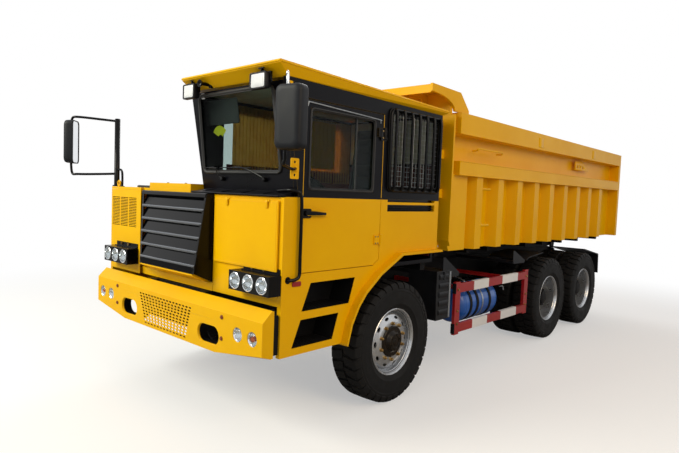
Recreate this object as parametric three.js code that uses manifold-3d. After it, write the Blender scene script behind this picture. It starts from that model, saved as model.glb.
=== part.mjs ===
// A three-axle mining dump truck with an offset cab, an open-topped load bed that tips
// to the rear, and a hinged tailgate. Millimetres, +Z up, the front faces -Y and +X is
// the truck's left side. Inside the truck group y = 0 is the front axle.
import * as THREE from 'three';
import { ConvexGeometry } from 'three/addons/geometries/ConvexGeometry.js';
import { mergeVertices } from 'three/addons/utils/BufferGeometryUtils.js';
import Module from 'manifold-3d';

const wasm = await Module();
wasm.setup();

// Overall layout
const frontAxleY = -2290;
const rearAxleY = [3550, 4900];
const axleZ = 561;
const gap = 1;
const halfWidth = 1304;
const frontY = -1434;
const hoodFrontY = -1464;
const mirrorReach = 1660;
const mirrorFrontY = -1880;
const rearEndY = 6460;

// Wheels
const wheelSides = 20;
const tyreRadius = axleZ / Math.cos(Math.PI / wheelSides);
const tyreWidth = 315;
const rimRadius = 315;
const frontWheelX = 1140;
const dualX = 990;
const dualHalfSpacing = 175;
const kingpinX = 900;

// Chassis
const railX = [350, 430];
const railZ = [820, 1120];
const railRearY = 5620;
const trunnionY = (rearAxleY[0] + rearAxleY[1]) / 2;
const bedPivot = { y: 5720, z: 1050 };
const hoistFoot = { y: 2620, z: 400 };
const hoistEye = { y: 2720, z: 1250 };

// Cab
const cabX = [100, halfWidth];
const cabRearY = 594;
const cabFloorZ = 1300;
const beltZ = 1875;
const eavesZ = 2700;
const pillarFootY = -1298;
const pillarHeadY = -1446;
const sheet = 40;
const bulkheadY = -1190;
const door = { front: -1248, rear: -325, bottom: 1306, top: 2590 };
const doorGap = 6;

// Bed
const bedFrontY = 815;
const bedRearY = 6330;
const bedRailFrontY = 900;
const bedBottomZ = 1357;
const railTopZ = 2744;
const wallX = [1160, 1184];
const ribOuterX = 1304;
const bedRailX = 1334;
const ribCount = 9;
const ribPitch = 505;
const firstRibY = 1150;

// ---- Shape helpers

function faceOutward(geometry) {
  const merged = geometry.clone();
  merged.deleteAttribute('normal');
  merged.deleteAttribute('uv');
  const closed = mergeVertices(merged, 1e-3);
  const p = closed.getAttribute('position');
  const index = closed.getIndex();
  const a = new THREE.Vector3();
  const b = new THREE.Vector3();
  const c = new THREE.Vector3();
  let volume = 0;
  for (let i = 0; i < index.count; i += 3) {
    a.fromBufferAttribute(p, index.getX(i));
    b.fromBufferAttribute(p, index.getX(i + 1));
    c.fromBufferAttribute(p, index.getX(i + 2));
    volume += a.dot(b.cross(c));
  }
  if (volume < 0) {
    for (let i = 0; i < index.count; i += 3) {
      const first = index.getX(i);
      index.setX(i, index.getX(i + 2));
      index.setX(i + 2, first);
    }
  }
  return closed;
}

function toManifold(geometry) {
  const closed = faceOutward(geometry);
  return new wasm.Manifold(new wasm.Mesh({
    numProp: 3,
    vertProperties: new Float32Array(closed.getAttribute('position').array),
    triVerts: new Uint32Array(closed.getIndex().array),
  }));
}

function toGeometry(manifold) {
  const mesh = manifold.getMesh();
  const geometry = new THREE.BufferGeometry();
  geometry.setAttribute('position', new THREE.BufferAttribute(mesh.vertProperties, 3));
  geometry.setIndex(new THREE.BufferAttribute(mesh.triVerts, 1));
  geometry.computeVertexNormals();
  return geometry;
}

function join(...shapes) {
  return toGeometry(shapes.map(toManifold).reduce((whole, next) => whole.add(next)));
}

function cut(shape, ...tools) {
  return toGeometry(tools.map(toManifold).reduce((left, next) => left.subtract(next), toManifold(shape)));
}

function box(x0, x1, y0, y1, z0, z1) {
  const geometry = new THREE.BoxGeometry(Math.abs(x1 - x0), Math.abs(y1 - y0), Math.abs(z1 - z0));
  return geometry.translate((x0 + x1) / 2, (y0 + y1) / 2, (z0 + z1) / 2);
}

// An outline drawn on two of the axes and pulled straight along the third.
function prism(along, outline, from, to) {
  const shape = new THREE.Shape(outline.map(([u, v]) => new THREE.Vector2(u, v)));
  const geometry = new THREE.ExtrudeGeometry(shape, { depth: to - from, bevelEnabled: false });
  geometry.translate(0, 0, from);
  const x = new THREE.Vector3(1, 0, 0);
  const y = new THREE.Vector3(0, 1, 0);
  const z = new THREE.Vector3(0, 0, 1);
  const axes = { x: [y, z, x], y: [x, z, y], z: [x, y, z] }[along];
  return faceOutward(geometry.applyMatrix4(new THREE.Matrix4().makeBasis(...axes)));
}

function hull(points) {
  return new ConvexGeometry(points.map(([x, y, z]) => new THREE.Vector3(x, y, z)));
}

function rod(along, radius, from, to, u, v, sides = 16) {
  const geometry = new THREE.CylinderGeometry(radius, radius, to - from, sides);
  const middle = (from + to) / 2;
  if (along === 'x') return geometry.rotateZ(Math.PI / 2).translate(middle, u, v);
  if (along === 'y') return geometry.translate(u, middle, v);
  return geometry.rotateX(Math.PI / 2).translate(u, v, middle);
}

// A ring or a disc turned about the X axis, from [radius, x] points.
function turned(profile, sides = wheelSides) {
  const points = profile.map(([r, x]) => new THREE.Vector2(r, x));
  const geometry = new THREE.LatheGeometry(points, sides);
  geometry.rotateY(Math.PI / sides).rotateZ(-Math.PI / 2);
  return faceOutward(geometry);
}

function tube(points, radius, sides = 8, steps = 12) {
  const curve = new THREE.CatmullRomCurve3(points.map((p) => new THREE.Vector3(...p)), false, 'centripetal');
  const section = new THREE.Shape();
  section.absarc(0, 0, radius, 0, 2 * Math.PI, false);
  const options = { steps, curveSegments: sides / 2, extrudePath: curve, bevelEnabled: false };
  return faceOutward(new THREE.ExtrudeGeometry(section, options));
}

function mirrored(shape) {
  return faceOutward(shape.clone().scale(-1, 1, 1));
}

function bothSides(shape) {
  return [shape, mirrored(shape)];
}

// ---- Scene graph

const truck = new THREE.Group();
truck.position.y = frontAxleY;

const paints = {
  yellow: new THREE.MeshStandardMaterial({ color: 0xf0b000, roughness: 0.35, metalness: 0.1 }),
  black: new THREE.MeshStandardMaterial({ color: 0x101216, roughness: 0.4, metalness: 0.1 }),
  frame: new THREE.MeshStandardMaterial({ color: 0x16181b, roughness: 0.6, metalness: 0.3 }),
  rubber: new THREE.MeshStandardMaterial({ color: 0x1a1b1d, roughness: 0.9, metalness: 0 }),
  glass: new THREE.MeshStandardMaterial({ color: 0x8fa0a8, roughness: 0.05, metalness: 0 }),
  chrome: new THREE.MeshStandardMaterial({ color: 0xc8ccd0, roughness: 0.15, metalness: 1 }),
  plastic: new THREE.MeshStandardMaterial({ color: 0x1c2024, roughness: 0.6, metalness: 0 }),
  cloth: new THREE.MeshStandardMaterial({ color: 0x2a2a2e, roughness: 0.95, metalness: 0 }),
  red: new THREE.MeshStandardMaterial({ color: 0x8e1414, roughness: 0.45, metalness: 0.1 }),
  blue: new THREE.MeshStandardMaterial({ color: 0x1565a8, roughness: 0.4, metalness: 0.2 }),
  engine: new THREE.MeshStandardMaterial({ color: 0x55595c, roughness: 0.6, metalness: 0.6 }),
};

function add(name, shape, paint, parent = truck) {
  const mesh = new THREE.Mesh(faceOutward(shape), paints[paint]);
  mesh.name = name;
  parent.add(mesh);
  return mesh;
}

// ---- Chassis, axles and suspension

function chassisFrame() {
  const rail = prism('x', [
    [-1488, railZ[0]], [railRearY, railZ[0]], [railRearY, railZ[1]], [-1300, railZ[1]], [-1390, 1060], [-1488, 1060],
  ], ...railX);
  const crossYs = [-1420, 1210, 2240, 3120, trunnionY, 5540];
  const crosses = crossYs.map((y) => box(-railX[1] + 5, railX[1] - 5, y - 40, y + 40, 910, 1060));
  const hanger = box(railX[0], railX[1], trunnionY - 45, trunnionY + 45, 687, 900);
  const springEnd = (y) => box(railX[0] + 5, railX[1] - 5, y - 40, y + 40, 800, 900);
  const pivotPlate = prism('x', [
    [5500, 900], [5690, 985], [5768, 1010], [5768, 1088], [5690, 1108], [5500, 1115],
  ], railX[0] + 10, railX[1] - 5);
  const pivotTube = rod('x', 30, -500, 500, bedPivot.y, bedPivot.z, 12);
  const cradleArm = box(130, railX[0] + 10, hoistFoot.y - 60, hoistFoot.y + 60, 835, 895);
  const cradlePlate = cut(
    box(130, 155, hoistFoot.y - 60, hoistFoot.y + 60, hoistFoot.z - 55, 895),
    rod('x', 34, 100, 180, hoistFoot.y, hoistFoot.z, 12),
  );
  const cabBeam = (y, reach) => join(
    box(railX[1] - 5, reach, y - 40, y + 40, 1180, 1255),
    box(railX[0] + 5, railX[1], y - 40, y + 40, 1100, 1255),
  );
  const tankBeam = box(railX[1] - 5, 900, 1180, 1240, 862, 938);
  const sides = [rail, hanger, springEnd(-640), springEnd(640), pivotPlate, cradleArm, cradlePlate, tankBeam,
    cabBeam(-1140, 1060), cabBeam(520, 1200)].flatMap(bothSides);
  return join(...sides, ...crosses, pivotTube);
}

function leafPack(x0, x1, y, halfLength, endZ, middleZ, thickness) {
  const outline = [];
  const steps = 8;
  for (let i = 0; i <= steps; i += 1) {
    const t = -1 + (2 * i) / steps;
    outline.push([y + t * halfLength, middleZ + (endZ - middleZ) * t * t]);
  }
  for (let i = steps; i >= 0; i -= 1) {
    const t = -1 + (2 * i) / steps;
    const depth = thickness * (1 - 0.75 * Math.abs(t));
    outline.push([y + t * halfLength, middleZ + (endZ - middleZ) * t * t + depth]);
  }
  return prism('x', outline, x0, x1);
}

function frontAxle() {
  const beam = box(-kingpinX, kingpinX, -55, 55, 500, 620);
  const boss = rod('z', 48, 490, 630, kingpinX, 0);
  const spring = leafPack(railX[0] + 5, railX[1] - 5, 0, 655, 776, 615, 90);
  return join(beam, ...bothSides(boss), ...bothSides(spring));
}

function knuckle() {
  const top = box(kingpinX - 48, 985, -50, 50, 642, 672);
  const bottom = box(kingpinX - 48, 985, -50, 50, 448, 478);
  const web = box(960, 985, -50, 50, 448, 672);
  const spindle = rod('x', 42, 970, 1215, 0, axleZ);
  return join(top, bottom, web, spindle);
}

function rearAxle(y, hasShaft) {
  const housing = rod('x', 75, -1190, 1190, y, axleZ, 20);
  const banjo = rod('y', 190, y - 110, y + 110, -150, axleZ, 20);
  const pieces = [housing, banjo];
  if (hasShaft) pieces.push(rod('y', 40, y, rearAxleY[1] - 111, -220, axleZ - 20, 12));
  return join(...pieces);
}

function rearSuspension() {
  const trunnion = rod('x', 45, -560, 560, trunnionY, 640, 16);
  const seat = box(475, 565, trunnionY - 90, trunnionY + 90, 600, 735);
  const pack = leafPack(480, 560, trunnionY, 740, 637, 700, 110);
  return join(trunnion, ...bothSides(seat), ...bothSides(pack));
}

function engine() {
  const block = box(-335, 335, -950, 350, 640, 1240);
  const gearbox = box(-290, 170, 340, 1100, 640, 1000);
  const shaft = tube([[-220, 1050, 700], [-220, 2300, 655], [-220, rearAxleY[0] - 112, 610]], 40, 10, 6);
  return join(block, gearbox, shaft);
}

add('chassis_frame', chassisFrame(), 'frame');
add('front_axle', frontAxle(), 'frame');
add('rear_axle_1', rearAxle(rearAxleY[0], true), 'frame');
add('rear_axle_2', rearAxle(rearAxleY[1], false), 'frame');
add('rear_suspension', rearSuspension(), 'frame');
add('engine', engine(), 'engine');
add('radiator', box(-600, 340, -1350, -1230, 1122, 1800), 'black');

// ---- Wheels: the twin wheels of each rear position are one piece

function tyre(x) {
  const half = tyreWidth / 2;
  return turned([
    [rimRadius - 16, x - 122], [430, x - half], [528, x - 146], [tyreRadius, x - 112],
    [tyreRadius, x + 112], [528, x + 146], [430, x + half], [rimRadius - 16, x + 122],
    [rimRadius - 16, x - 122],
  ]);
}

function frontWheel() {
  const rim = turned([
    [48, -120], [105, -120], [118, 70], [225, 82], [284, 30], [286, -122],
    [rimRadius - 14, -122], [rimRadius - 14, 122], [284, 118], [232, 106],
    [105, 108], [90, 150], [0, 150], [0, 80], [48, 80], [48, -120],
  ]);
  return join(tyre(0), rim);
}

function twinWheel() {
  const edge = dualHalfSpacing + 122;
  const rim = turned([
    [80, -190], [140, -190], [150, -16], [284, -16], [284, -edge], [rimRadius - 14, -edge],
    [rimRadius - 14, edge], [284, edge], [284, 16], [150, 16], [130, 240],
    [0, 240], [0, 212], [80, 212], [80, -190],
  ]);
  return join(tyre(-dualHalfSpacing), tyre(dualHalfSpacing), rim);
}

for (const [side, sign] of [['left', 1], ['right', -1]]) {
  const hubShape = sign > 0 ? knuckle() : mirrored(knuckle());
  add(`steering_knuckle_${side}`, hubShape, 'frame');
  const wheel = add(`front_wheel_${side}`, sign > 0 ? frontWheel() : mirrored(frontWheel()), 'rubber');
  wheel.position.set(sign * frontWheelX, 0, axleZ);
  rearAxleY.forEach((y, i) => {
    const shape = sign > 0 ? twinWheel() : mirrored(twinWheel());
    const twin = add(`rear_wheels_${i + 1}_${side}`, shape, 'rubber');
    twin.position.set(sign * dualX, y, axleZ);
  });
}

// ---- Front end

function frontBumper() {
  const outline = [
    [-halfWidth, -1490], [-halfWidth, -1510], [-1298, -1595], [1298, -1595],
    [halfWidth, -1510], [halfWidth, -1490],
  ];
  const bar = prism('z', outline, 645, 1056);
  const topBevel = prism('x', [[-1640, 976], [-1595, 976], [-1510, 1060], [-1640, 1060]], -1400, 1400);
  const corner = prism('y', [[731, 600], [1400, 600], [1400, 748], [halfWidth, 732]], -1700, -1400);
  const towSlot = (x) => join(
    box(x - 70, x + 70, -1700, -1400, 695, 845),
    rod('y', 75, -1700, -1400, x - 70, 770, 14),
    rod('y', 75, -1700, -1400, x + 70, 770, 14),
  );
  const lamp = (x) => rod('y', 62, -1640, -1560, x, 838, 12);
  const lamps = [1012, 1185, -1015, -1190].map(lamp);
  return cut(bar, topBevel, ...bothSides(corner), towSlot(640), towSlot(-640), ...lamps);
}

// The radiator prow: five blades between two cheeks, leaning forward towards its foot.
function grille() {
  const topFrontY = -1500;
  const footFrontY = -1600;
  const cheek = (xBack, xTop, xFoot, thickness) => hull([
    [xBack, frontY, 1140], [xBack, frontY, 1866], [xBack + thickness, frontY, 1140],
    [xBack + thickness, frontY, 1866], [xTop, topFrontY, 1866], [xTop + thickness, topFrontY, 1866],
    [xFoot, footFrontY, 1215], [xFoot + thickness, footFrontY, 1215],
  ]);
  const cheeks = [cheek(425, 415, 405, 25), cheek(-700, -600, -445, 25)];
  const cap = prism('z', [[-700, frontY], [-600, topFrontY], [440, topFrontY], [450, frontY]], 1840, 1866);
  const blades = [];
  const bladeCount = 5;
  const lowestZ = 1266;
  const bladePitch = 114;
  for (let i = 0; i < bladeCount; i += 1) {
    const z = lowestZ + i * bladePitch;
    const t = (1840 - z) / 625;
    const y = topFrontY + (footFrontY - topFrontY) * t;
    const left = -600 + 155 * t + 6;
    const blade = [[y + 8, z], [y + 24, z], [y + 66, z + 108], [y + 50, z + 108]];
    blades.push(prism('x', blade, left, 425));
  }
  const foot = box(-455, 415, footFrontY + 4, footFrontY + 40, 1215, 1245);
  return join(...cheeks, cap, ...blades, foot);
}

function hoodFront() {
  const panel = box(-halfWidth + gap, -702, hoodFrontY, frontY + 4, 1065, 1864);
  const apron = prism('x', [[-1596, 1208], [-1580, 1208], [frontY + 36, 1134], [frontY + 36, 1065],
    [frontY, 1065], [frontY, 1128], [-1596, 1198]], -440, 400);
  const strip = box(-703, 453, frontY, frontY + 36, 1065, 1134);
  return join(panel, apron, strip);
}

function hoodTop() {
  const deck = box(-halfWidth + gap, cabX[0] - gap, frontY, 380, 1866, 1890);
  const corner = box(-halfWidth + gap, -703, hoodFrontY, frontY + 10, 1865.5, 1890);
  const tray = box(-596, 98, frontY + 2, -1240, 1880, 1941);
  const ring = new THREE.TorusGeometry(26, 9, 6, 14).rotateX(Math.PI / 2).translate(-1190, hoodFrontY + 22, 1922);
  return join(deck, corner, tray, ring);
}

function headlamp(x0, x1, backY) {
  const body = box(x0, x1, backY - 116, backY - gap, 1152, 1300);
  const radius = 62;
  const pitch = (x1 - x0) / 3;
  const cups = [0, 1, 2].map((i) => rod('y', radius, backY - 150, backY - 86, x0 + pitch * (i + 0.5), 1226, 14));
  return cut(body, ...cups);
}

add('front_bumper', frontBumper(), 'yellow');
add('grille', grille(), 'black');
add('hood_front', hoodFront(), 'yellow');
add('hood_top', hoodTop(), 'yellow');
add('headlamp_left', headlamp(830, 1300, frontY), 'black');
add('headlamp_right', headlamp(-1200, -730, hoodFrontY), 'black');

// ---- Body sides: the arch line is shared by both sides

const archLine = [[-767, 690], [-720, 860], [-640, 1000], [-550, 1100], [-360, 1240], [-60, 1390], [cabRearY, 1390]];

function archFlange() {
  const outer = archLine.map(([y, z]) => [y - 4, z + 7]);
  const inner = archLine.map(([y, z]) => [y + 10, z - 15]).reverse();
  return prism('x', [...outer, ...inner], halfWidth - sheet + 3, halfWidth + 72);
}

function stepRecess(z0, z1, yFront, yRear) {
  const slant = 0.42 * (z1 - z0);
  return [[yFront - slant, z0], [yRear - slant * 0.75, z0], [yRear, z1], [yFront, z1]];
}

const stepOutlines = [stepRecess(745, 950, -1232, -812), stepRecess(1012, 1222, -1138, -625)];

// A welded step box behind each opening: floor, back and ends, open to the outside.
function stepBox(outline) {
  const [a, b, c, d] = outline;
  const wall = 6;
  const grown = [[a[0] - wall, a[1] - wall], [b[0] + wall, b[1] - wall], [c[0] + wall, c[1] + wall],
    [d[0] - wall, d[1] + wall]];
  const shell = prism('x', grown, halfWidth - 230, halfWidth - sheet + 2);
  return cut(shell, prism('x', outline, halfWidth - 224, halfWidth + 10));
}

function cabSideLeft() {
  const skin = prism('x', [
    [frontY, 690], ...archLine, [cabRearY, eavesZ], [pillarHeadY, eavesZ + 20], [pillarFootY, beltZ],
    [frontY, 1862],
  ], halfWidth - sheet, halfWidth);
  const openings = [
    prism('x', [
      [door.front - doorGap, door.bottom - doorGap], [-398, door.bottom - doorGap],
      [door.rear + doorGap, door.bottom + 44], [door.rear + doorGap, door.top + doorGap],
      [door.front - doorGap, door.top + doorGap],
    ], 1200, 1400),
    box(1200, 1400, -235, 520, 1985, 2620),
    box(1200, 1400, -228, 520, 1848, 1872),
    box(1200, 1400, -228, 520, 1765, 1825),
    ...stepOutlines.map((outline) => prism('x', outline, 1200, 1400)),
  ];
  const boxes = stepOutlines.map(stepBox);
  return join(cut(skin, ...openings), ...boxes, archFlange());
}

function hoodSide() {
  const skin = prism('x', [
    [hoodFrontY, 690], ...archLine.slice(0, 6), [400, 1390], [400, 1864], [hoodFrontY, 1864],
  ], halfWidth - sheet, halfWidth);
  const openings = stepOutlines.map((outline) => prism('x', outline, 1200, 1400));
  const vents = [0, 1, 2, 3].map((i) => box(1200, 1400, -700, 250, 1520 + 70 * i, 1550 + 70 * i));
  const flange = cut(archFlange(), box(1200, 1400, 400, 700, 1300, 1500));
  return mirrored(join(cut(skin, ...openings, ...vents), ...stepOutlines.map(stepBox), flange));
}

add('hood_side', cut(hoodSide(), box(-1303, -1200, hoodFrontY - 5, frontY + 5, 1064, 1900)), 'yellow');

// ---- Cab

const pillarSlope = (pillarHeadY - pillarFootY) / (eavesZ + 20 - beltZ);
const pillarY = (z) => pillarFootY + pillarSlope * (z - beltZ);

const screen = { left: 1150, right: 152, topRight: 205, bottom: 2045, top: 2672, corner: 40 };

// The windscreen's outline, seen from the front, drawn in by some inset.
function screenOutline(inset) {
  const { left, right, topRight, bottom, top, corner } = screen;
  return [[right + inset, bottom + corner], [right + corner, bottom + inset], [left - corner, bottom + inset],
    [left - inset, bottom + corner], [left - inset, top - corner], [left - corner, top - inset],
    [topRight + corner, top - inset], [topRight + inset, top - corner]];
}

function windscreenFrame() {
  const depth = 26;
  const slab = prism('x', [
    [pillarY(1892), 1892], [pillarY(eavesZ - 2), eavesZ - 2], [pillarY(eavesZ - 2) + depth, eavesZ - 2],
    [pillarY(1892) + depth, 1892],
  ], cabX[0] + gap, halfWidth - sheet - gap);
  const opening = prism('y', screenOutline(0), -1700, -1100);
  const cowl = prism('x', [
    [-1452, 1866], [-1452, 1880], [pillarFootY - 4, 1906], [pillarFootY + 26, 1906], [pillarFootY + 26, 1866],
  ], cabX[0] + sheet + gap, halfWidth - sheet - gap);
  return join(cut(slab, opening), cowl);
}

function leaningPane() {
  const sunk = 4;
  const thickness = 8;
  const low = screen.bottom - 20;
  const high = screen.top + 20;
  const sheetShape = prism('x', [[pillarY(low) + sunk, low], [pillarY(high) + sunk, high],
    [pillarY(high) + sunk + thickness, high], [pillarY(low) + sunk + thickness, low]], 100, 1300);
  return toGeometry(toManifold(sheetShape).intersect(toManifold(prism('y', screenOutline(gap), -1700, -1100))));
}

function cabFront() {
  const panel = box(456, halfWidth - sheet - gap, frontY, frontY + 36, 1065, 1864);
  return cut(panel, box(520, 1235, frontY - 10, frontY + 60, 1370, 1810));
}

function cabSideRight() {
  const skin = prism('x', [
    [bulkheadY, cabFloorZ], [cabRearY, cabFloorZ], [cabRearY, eavesZ - 2], [pillarHeadY + 32, eavesZ - 2],
    [pillarFootY + 30, 1892], [bulkheadY, 1892],
  ], cabX[0], cabX[0] + sheet);
  const openings = [
    box(50, 200, -1130, -420, 1990, 2600),
    box(50, 200, -300, 460, 1990, 2600),
  ];
  return cut(skin, ...openings);
}

function cabRear() {
  return box(cabX[0] + sheet + gap, halfWidth - sheet - gap, cabRearY - sheet, cabRearY, cabFloorZ, eavesZ - 2);
}

function cabFloor() {
  const floor = box(cabX[0], halfWidth - sheet - gap, bulkheadY, cabRearY, 1262, cabFloorZ - gap);
  const innerX = [cabX[0] + sheet + gap, halfWidth - sheet - gap];
  return join(floor, box(...innerX, bulkheadY, bulkheadY + 30, 1262, 1864));
}

function cabRoof() {
  const frontLipY = -1545;
  const rearLipY = 640;
  const low = eavesZ + 1;
  return hull([
    [cabX[0], pillarHeadY + 10, low + 21], [halfWidth, pillarHeadY + 10, low + 21],
    [cabX[0], cabRearY, low], [halfWidth, cabRearY, low],
    [112, frontLipY, 2790], [1342, frontLipY, 2790], [76, rearLipY, 2725], [1345, rearLipY, 2725],
    [112, frontLipY, 2815], [1342, frontLipY, 2815], [76, rearLipY, 2750], [1345, rearLipY, 2750],
    [180, -1460, 2828], [1270, -1460, 2828], [150, 560, 2768], [1270, 560, 2768],
  ]);
}

add('cab_side_left', cabSideLeft(), 'yellow');
add('cab_side_right', cabSideRight(), 'black');
add('cab_front', cabFront(), 'yellow');
add('windscreen_frame', windscreenFrame(), 'black');
add('cab_rear', cabRear(), 'black');
add('cab_floor', cabFloor(), 'black');
add('cab_roof', cabRoof(), 'yellow');
add('windscreen', leaningPane(), 'glass');
add('side_glass_left', box(1278, 1284, -235 + gap, 520 - gap, 1985 + gap, 2620 - gap), 'glass');
add('side_glass_right', box(117, 123, -1130 + gap, -420 - gap, 1990 + gap, 2600 - gap), 'glass');

function windowGuard() {
  const frameX = [halfWidth + gap, halfWidth + 12];
  const rim = cut(box(...frameX, -262, 560, 1935, 2668), box(1200, 1400, -222, 520, 1985, 2620));
  const bars = [];
  const barCount = 7;
  for (let i = 0; i < barCount; i += 1) {
    const y = -205 + i * 118;
    const reach = halfWidth + 62;
    bars.push(box(reach - 30, reach, y - 14, y + 14, 1990, 2610));
    bars.push(hull([
      [halfWidth + 4, y - 14, 1945], [halfWidth + 4, y + 14, 1945], [halfWidth + 4, y - 14, 1975],
      [halfWidth + 4, y + 14, 1975], [reach, y - 14, 1992], [reach, y + 14, 1992],
      [reach - 30, y - 14, 2010], [reach - 30, y + 14, 2010],
    ]));
    bars.push(hull([
      [halfWidth + 4, y - 14, 2660], [halfWidth + 4, y + 14, 2660], [halfWidth + 4, y - 14, 2630],
      [halfWidth + 4, y + 14, 2630], [reach, y - 14, 2608], [reach, y + 14, 2608],
      [reach - 30, y - 14, 2590], [reach - 30, y + 14, 2590],
    ]));
  }
  return join(rim, ...bars);
}

add('window_guard', windowGuard(), 'black');

// ---- Door, hung on its rear edge

const doorGroup = new THREE.Group();
truck.add(doorGroup);

function doorPanel() {
  const skin = prism('x', [
    [door.front, door.bottom], [-400, door.bottom], [door.rear, door.bottom + 48], [door.rear, door.top],
    [door.front, door.top],
  ], halfWidth - sheet, halfWidth);
  const window = box(1200, 1400, -1196, -438, 1930, 2530);
  const hinges = [1480, 2390].map((z) => join(
    rod('z', 14, z, z + 90, halfWidth + 16, door.rear),
    box(halfWidth - 2, halfWidth + 14, door.rear - 80, door.rear - 4, z + 8, z + 82),
  ));
  const handle = join(
    box(halfWidth - 2, halfWidth + 30, -1215, -1190, 1735, 1765),
    box(halfWidth + 18, halfWidth + 32, -1225, -1010, 1735, 1765),
    box(halfWidth - 2, halfWidth + 30, -1035, -1010, 1735, 1765),
  );
  return join(cut(skin, window), ...hinges, handle);
}

add('door', doorPanel(), 'yellow', doorGroup);
add('door_glass', box(1280, 1286, -1195, -439, 1931, 2529), 'glass', doorGroup);

// ---- Front hatch, hung on its top edge

const hatch = { left: 483, right: 1262, top: 1838, bottom: 1322, thickness: 16 };

function hatchPanel() {
  const backY = frontY - 5;
  const panel = box(hatch.left, hatch.right, backY - hatch.thickness, backY, hatch.bottom, hatch.top);
  const lugs = [640, 1140].map((x) => rod('x', 9, x - 40, x + 40, backY - hatch.thickness - 2, hatch.top - 4, 12));
  return join(panel, ...lugs);
}

add('front_hatch', hatchPanel(), 'yellow');

// ---- Mirrors

const headHalf = { width: 106, depth: 48, height: 215 };

function mirrorHead(x, y, z, turn) {
  const shape = new THREE.Shape();
  const r = 40;
  const { width, depth, height } = headHalf;
  shape.moveTo(-width + r, -height);
  shape.lineTo(width - r, -height);
  shape.absarc(width - r, -height + r, r, -Math.PI / 2, 0, false);
  shape.absarc(width - r, height - r, r, 0, Math.PI / 2, false);
  shape.absarc(-width + r, height - r, r, Math.PI / 2, Math.PI, false);
  shape.absarc(-width + r, -height + r, r, Math.PI, 1.5 * Math.PI, false);
  const geometry = new THREE.ExtrudeGeometry(shape, { depth: 2 * depth, bevelEnabled: false, curveSegments: 3 });
  geometry.translate(0, 0, -depth).rotateX(Math.PI / 2);
  return faceOutward(geometry.rotateZ(turn).translate(x, y, z));
}

function headReach(turn) {
  const c = Math.abs(Math.cos(turn));
  const s = Math.abs(Math.sin(turn));
  return { x: headHalf.width * c + headHalf.depth * s, y: headHalf.width * s + headHalf.depth * c };
}

function mirrorLeft() {
  const turn = 0.24;
  const head = { x: mirrorReach - headReach(turn).x, y: -1620, z: 2395 };
  const foot = [1316, -1345, 2075];
  const top = [1316, -1415, 2640];
  const lower = tube([foot, [1420, -1500, 2078], [head.x - 30, head.y + 20, 2110], [head.x, head.y, 2200]], 12);
  const upper = tube([top, [1400, -1560, 2680], [head.x - 20, head.y, 2690], [head.x, head.y, 2590]], 12);
  const bracket = box(halfWidth + gap, halfWidth + 16, -1375, -1305, 2010, 2140);
  const topBracket = box(halfWidth + gap, halfWidth + 16, -1436, -1392, 2610, 2680);
  return join(mirrorHead(head.x, head.y, head.z, turn), lower, upper, bracket, topBracket);
}

function mirrorRight() {
  const turn = -0.66;
  const head = { x: -mirrorReach + headReach(turn).x, y: mirrorFrontY + headReach(turn).y, z: 2320 };
  const postX = -1272;
  const postY = -1429;
  const post = rod('z', 28, 1891, 2575, postX, postY, 12);
  const top = [postX, postY, 2552];
  const bottom = [postX, postY, 2020];
  const upper = tube([top, [-1380, -1560, 2560], [head.x + 40, head.y + 40, 2580], [head.x, head.y, 2500]], 12);
  const lower = tube([bottom, [-1380, -1560, 2020], [head.x + 30, head.y + 30, 2030], [head.x, head.y, 2140]], 12);
  const foot = box(postX - 32, postX + 32, postY - 34, postY + 34, 1891, 1905);
  return join(mirrorHead(head.x, head.y, head.z, turn), post, upper, lower, foot);
}

add('mirror_left', mirrorLeft(), 'plastic');
add('mirror_right', mirrorRight(), 'plastic');

// ---- Cab interior

const steering = { x: 900, y: -852, z: 1956, tilt: 0.6 };

function dashboard() {
  const desk = prism('x', [
    [bulkheadY + 31, cabFloorZ + 1], [-1060, cabFloorZ + 1], [-1030, 1860], [-1010, 1985], [-1075, 2012],
    [-1205, 1950], [-1205, 1908], [bulkheadY + 31, 1908],
  ], cabX[0] + sheet + 4, halfWidth - sheet - 24);
  const along = (d) => [steering.x, steering.y - d * Math.sin(steering.tilt), steering.z - d * Math.cos(steering.tilt)];
  return join(desk, tube([along(300), along(150), along(18)], 24, 10, 3));
}

function steeringWheel() {
  const ring = new THREE.TorusGeometry(205, 15, 6, 22);
  const hub = new THREE.CylinderGeometry(48, 48, 30, 12).rotateX(Math.PI / 2);
  const spokes = [0, 1, 2].map((i) => box(0, 200, -16, 16, -7, 7).rotateZ(Math.PI / 2 + (i * 2 * Math.PI) / 3));
  return join(ring, hub, ...spokes).rotateX(-steering.tilt).translate(steering.x, steering.y, steering.z);
}

function seatBase() {
  const pedestal = box(700, 1080, -560, -180, cabFloorZ + 1, 1640);
  return join(pedestal, box(660, 1120, -600, -120, 1620, 1668));
}

function softBlock(x0, x1, y0, y1, z0, z1, r) {
  const outline = [];
  const corners = [[y1 - r, z1 - r, 0], [y0 + r, z1 - r, 1], [y0 + r, z0 + r, 2], [y1 - r, z0 + r, 3]];
  for (const [cy, cz, quarter] of corners) {
    for (let i = 0; i <= 3; i += 1) {
      const angle = ((quarter + i / 3) * Math.PI) / 2;
      outline.push([cy + r * Math.cos(angle), cz + r * Math.sin(angle)]);
    }
  }
  return prism('x', outline, x0, x1);
}

add('dashboard', dashboard(), 'plastic');
add('steering_wheel', steeringWheel(), 'plastic');
add('seat_base', seatBase(), 'plastic');
add('seat_cushion', softBlock(650, 1130, -640, -150, 1670, 1790, 45), 'cloth');
add('seat_backrest', softBlock(660, 1120, -60, 70, 0, 760, 50)
  .rotateX(-0.16).translate(0, -60, 1800), 'cloth');

// ---- Side guards and tanks

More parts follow.
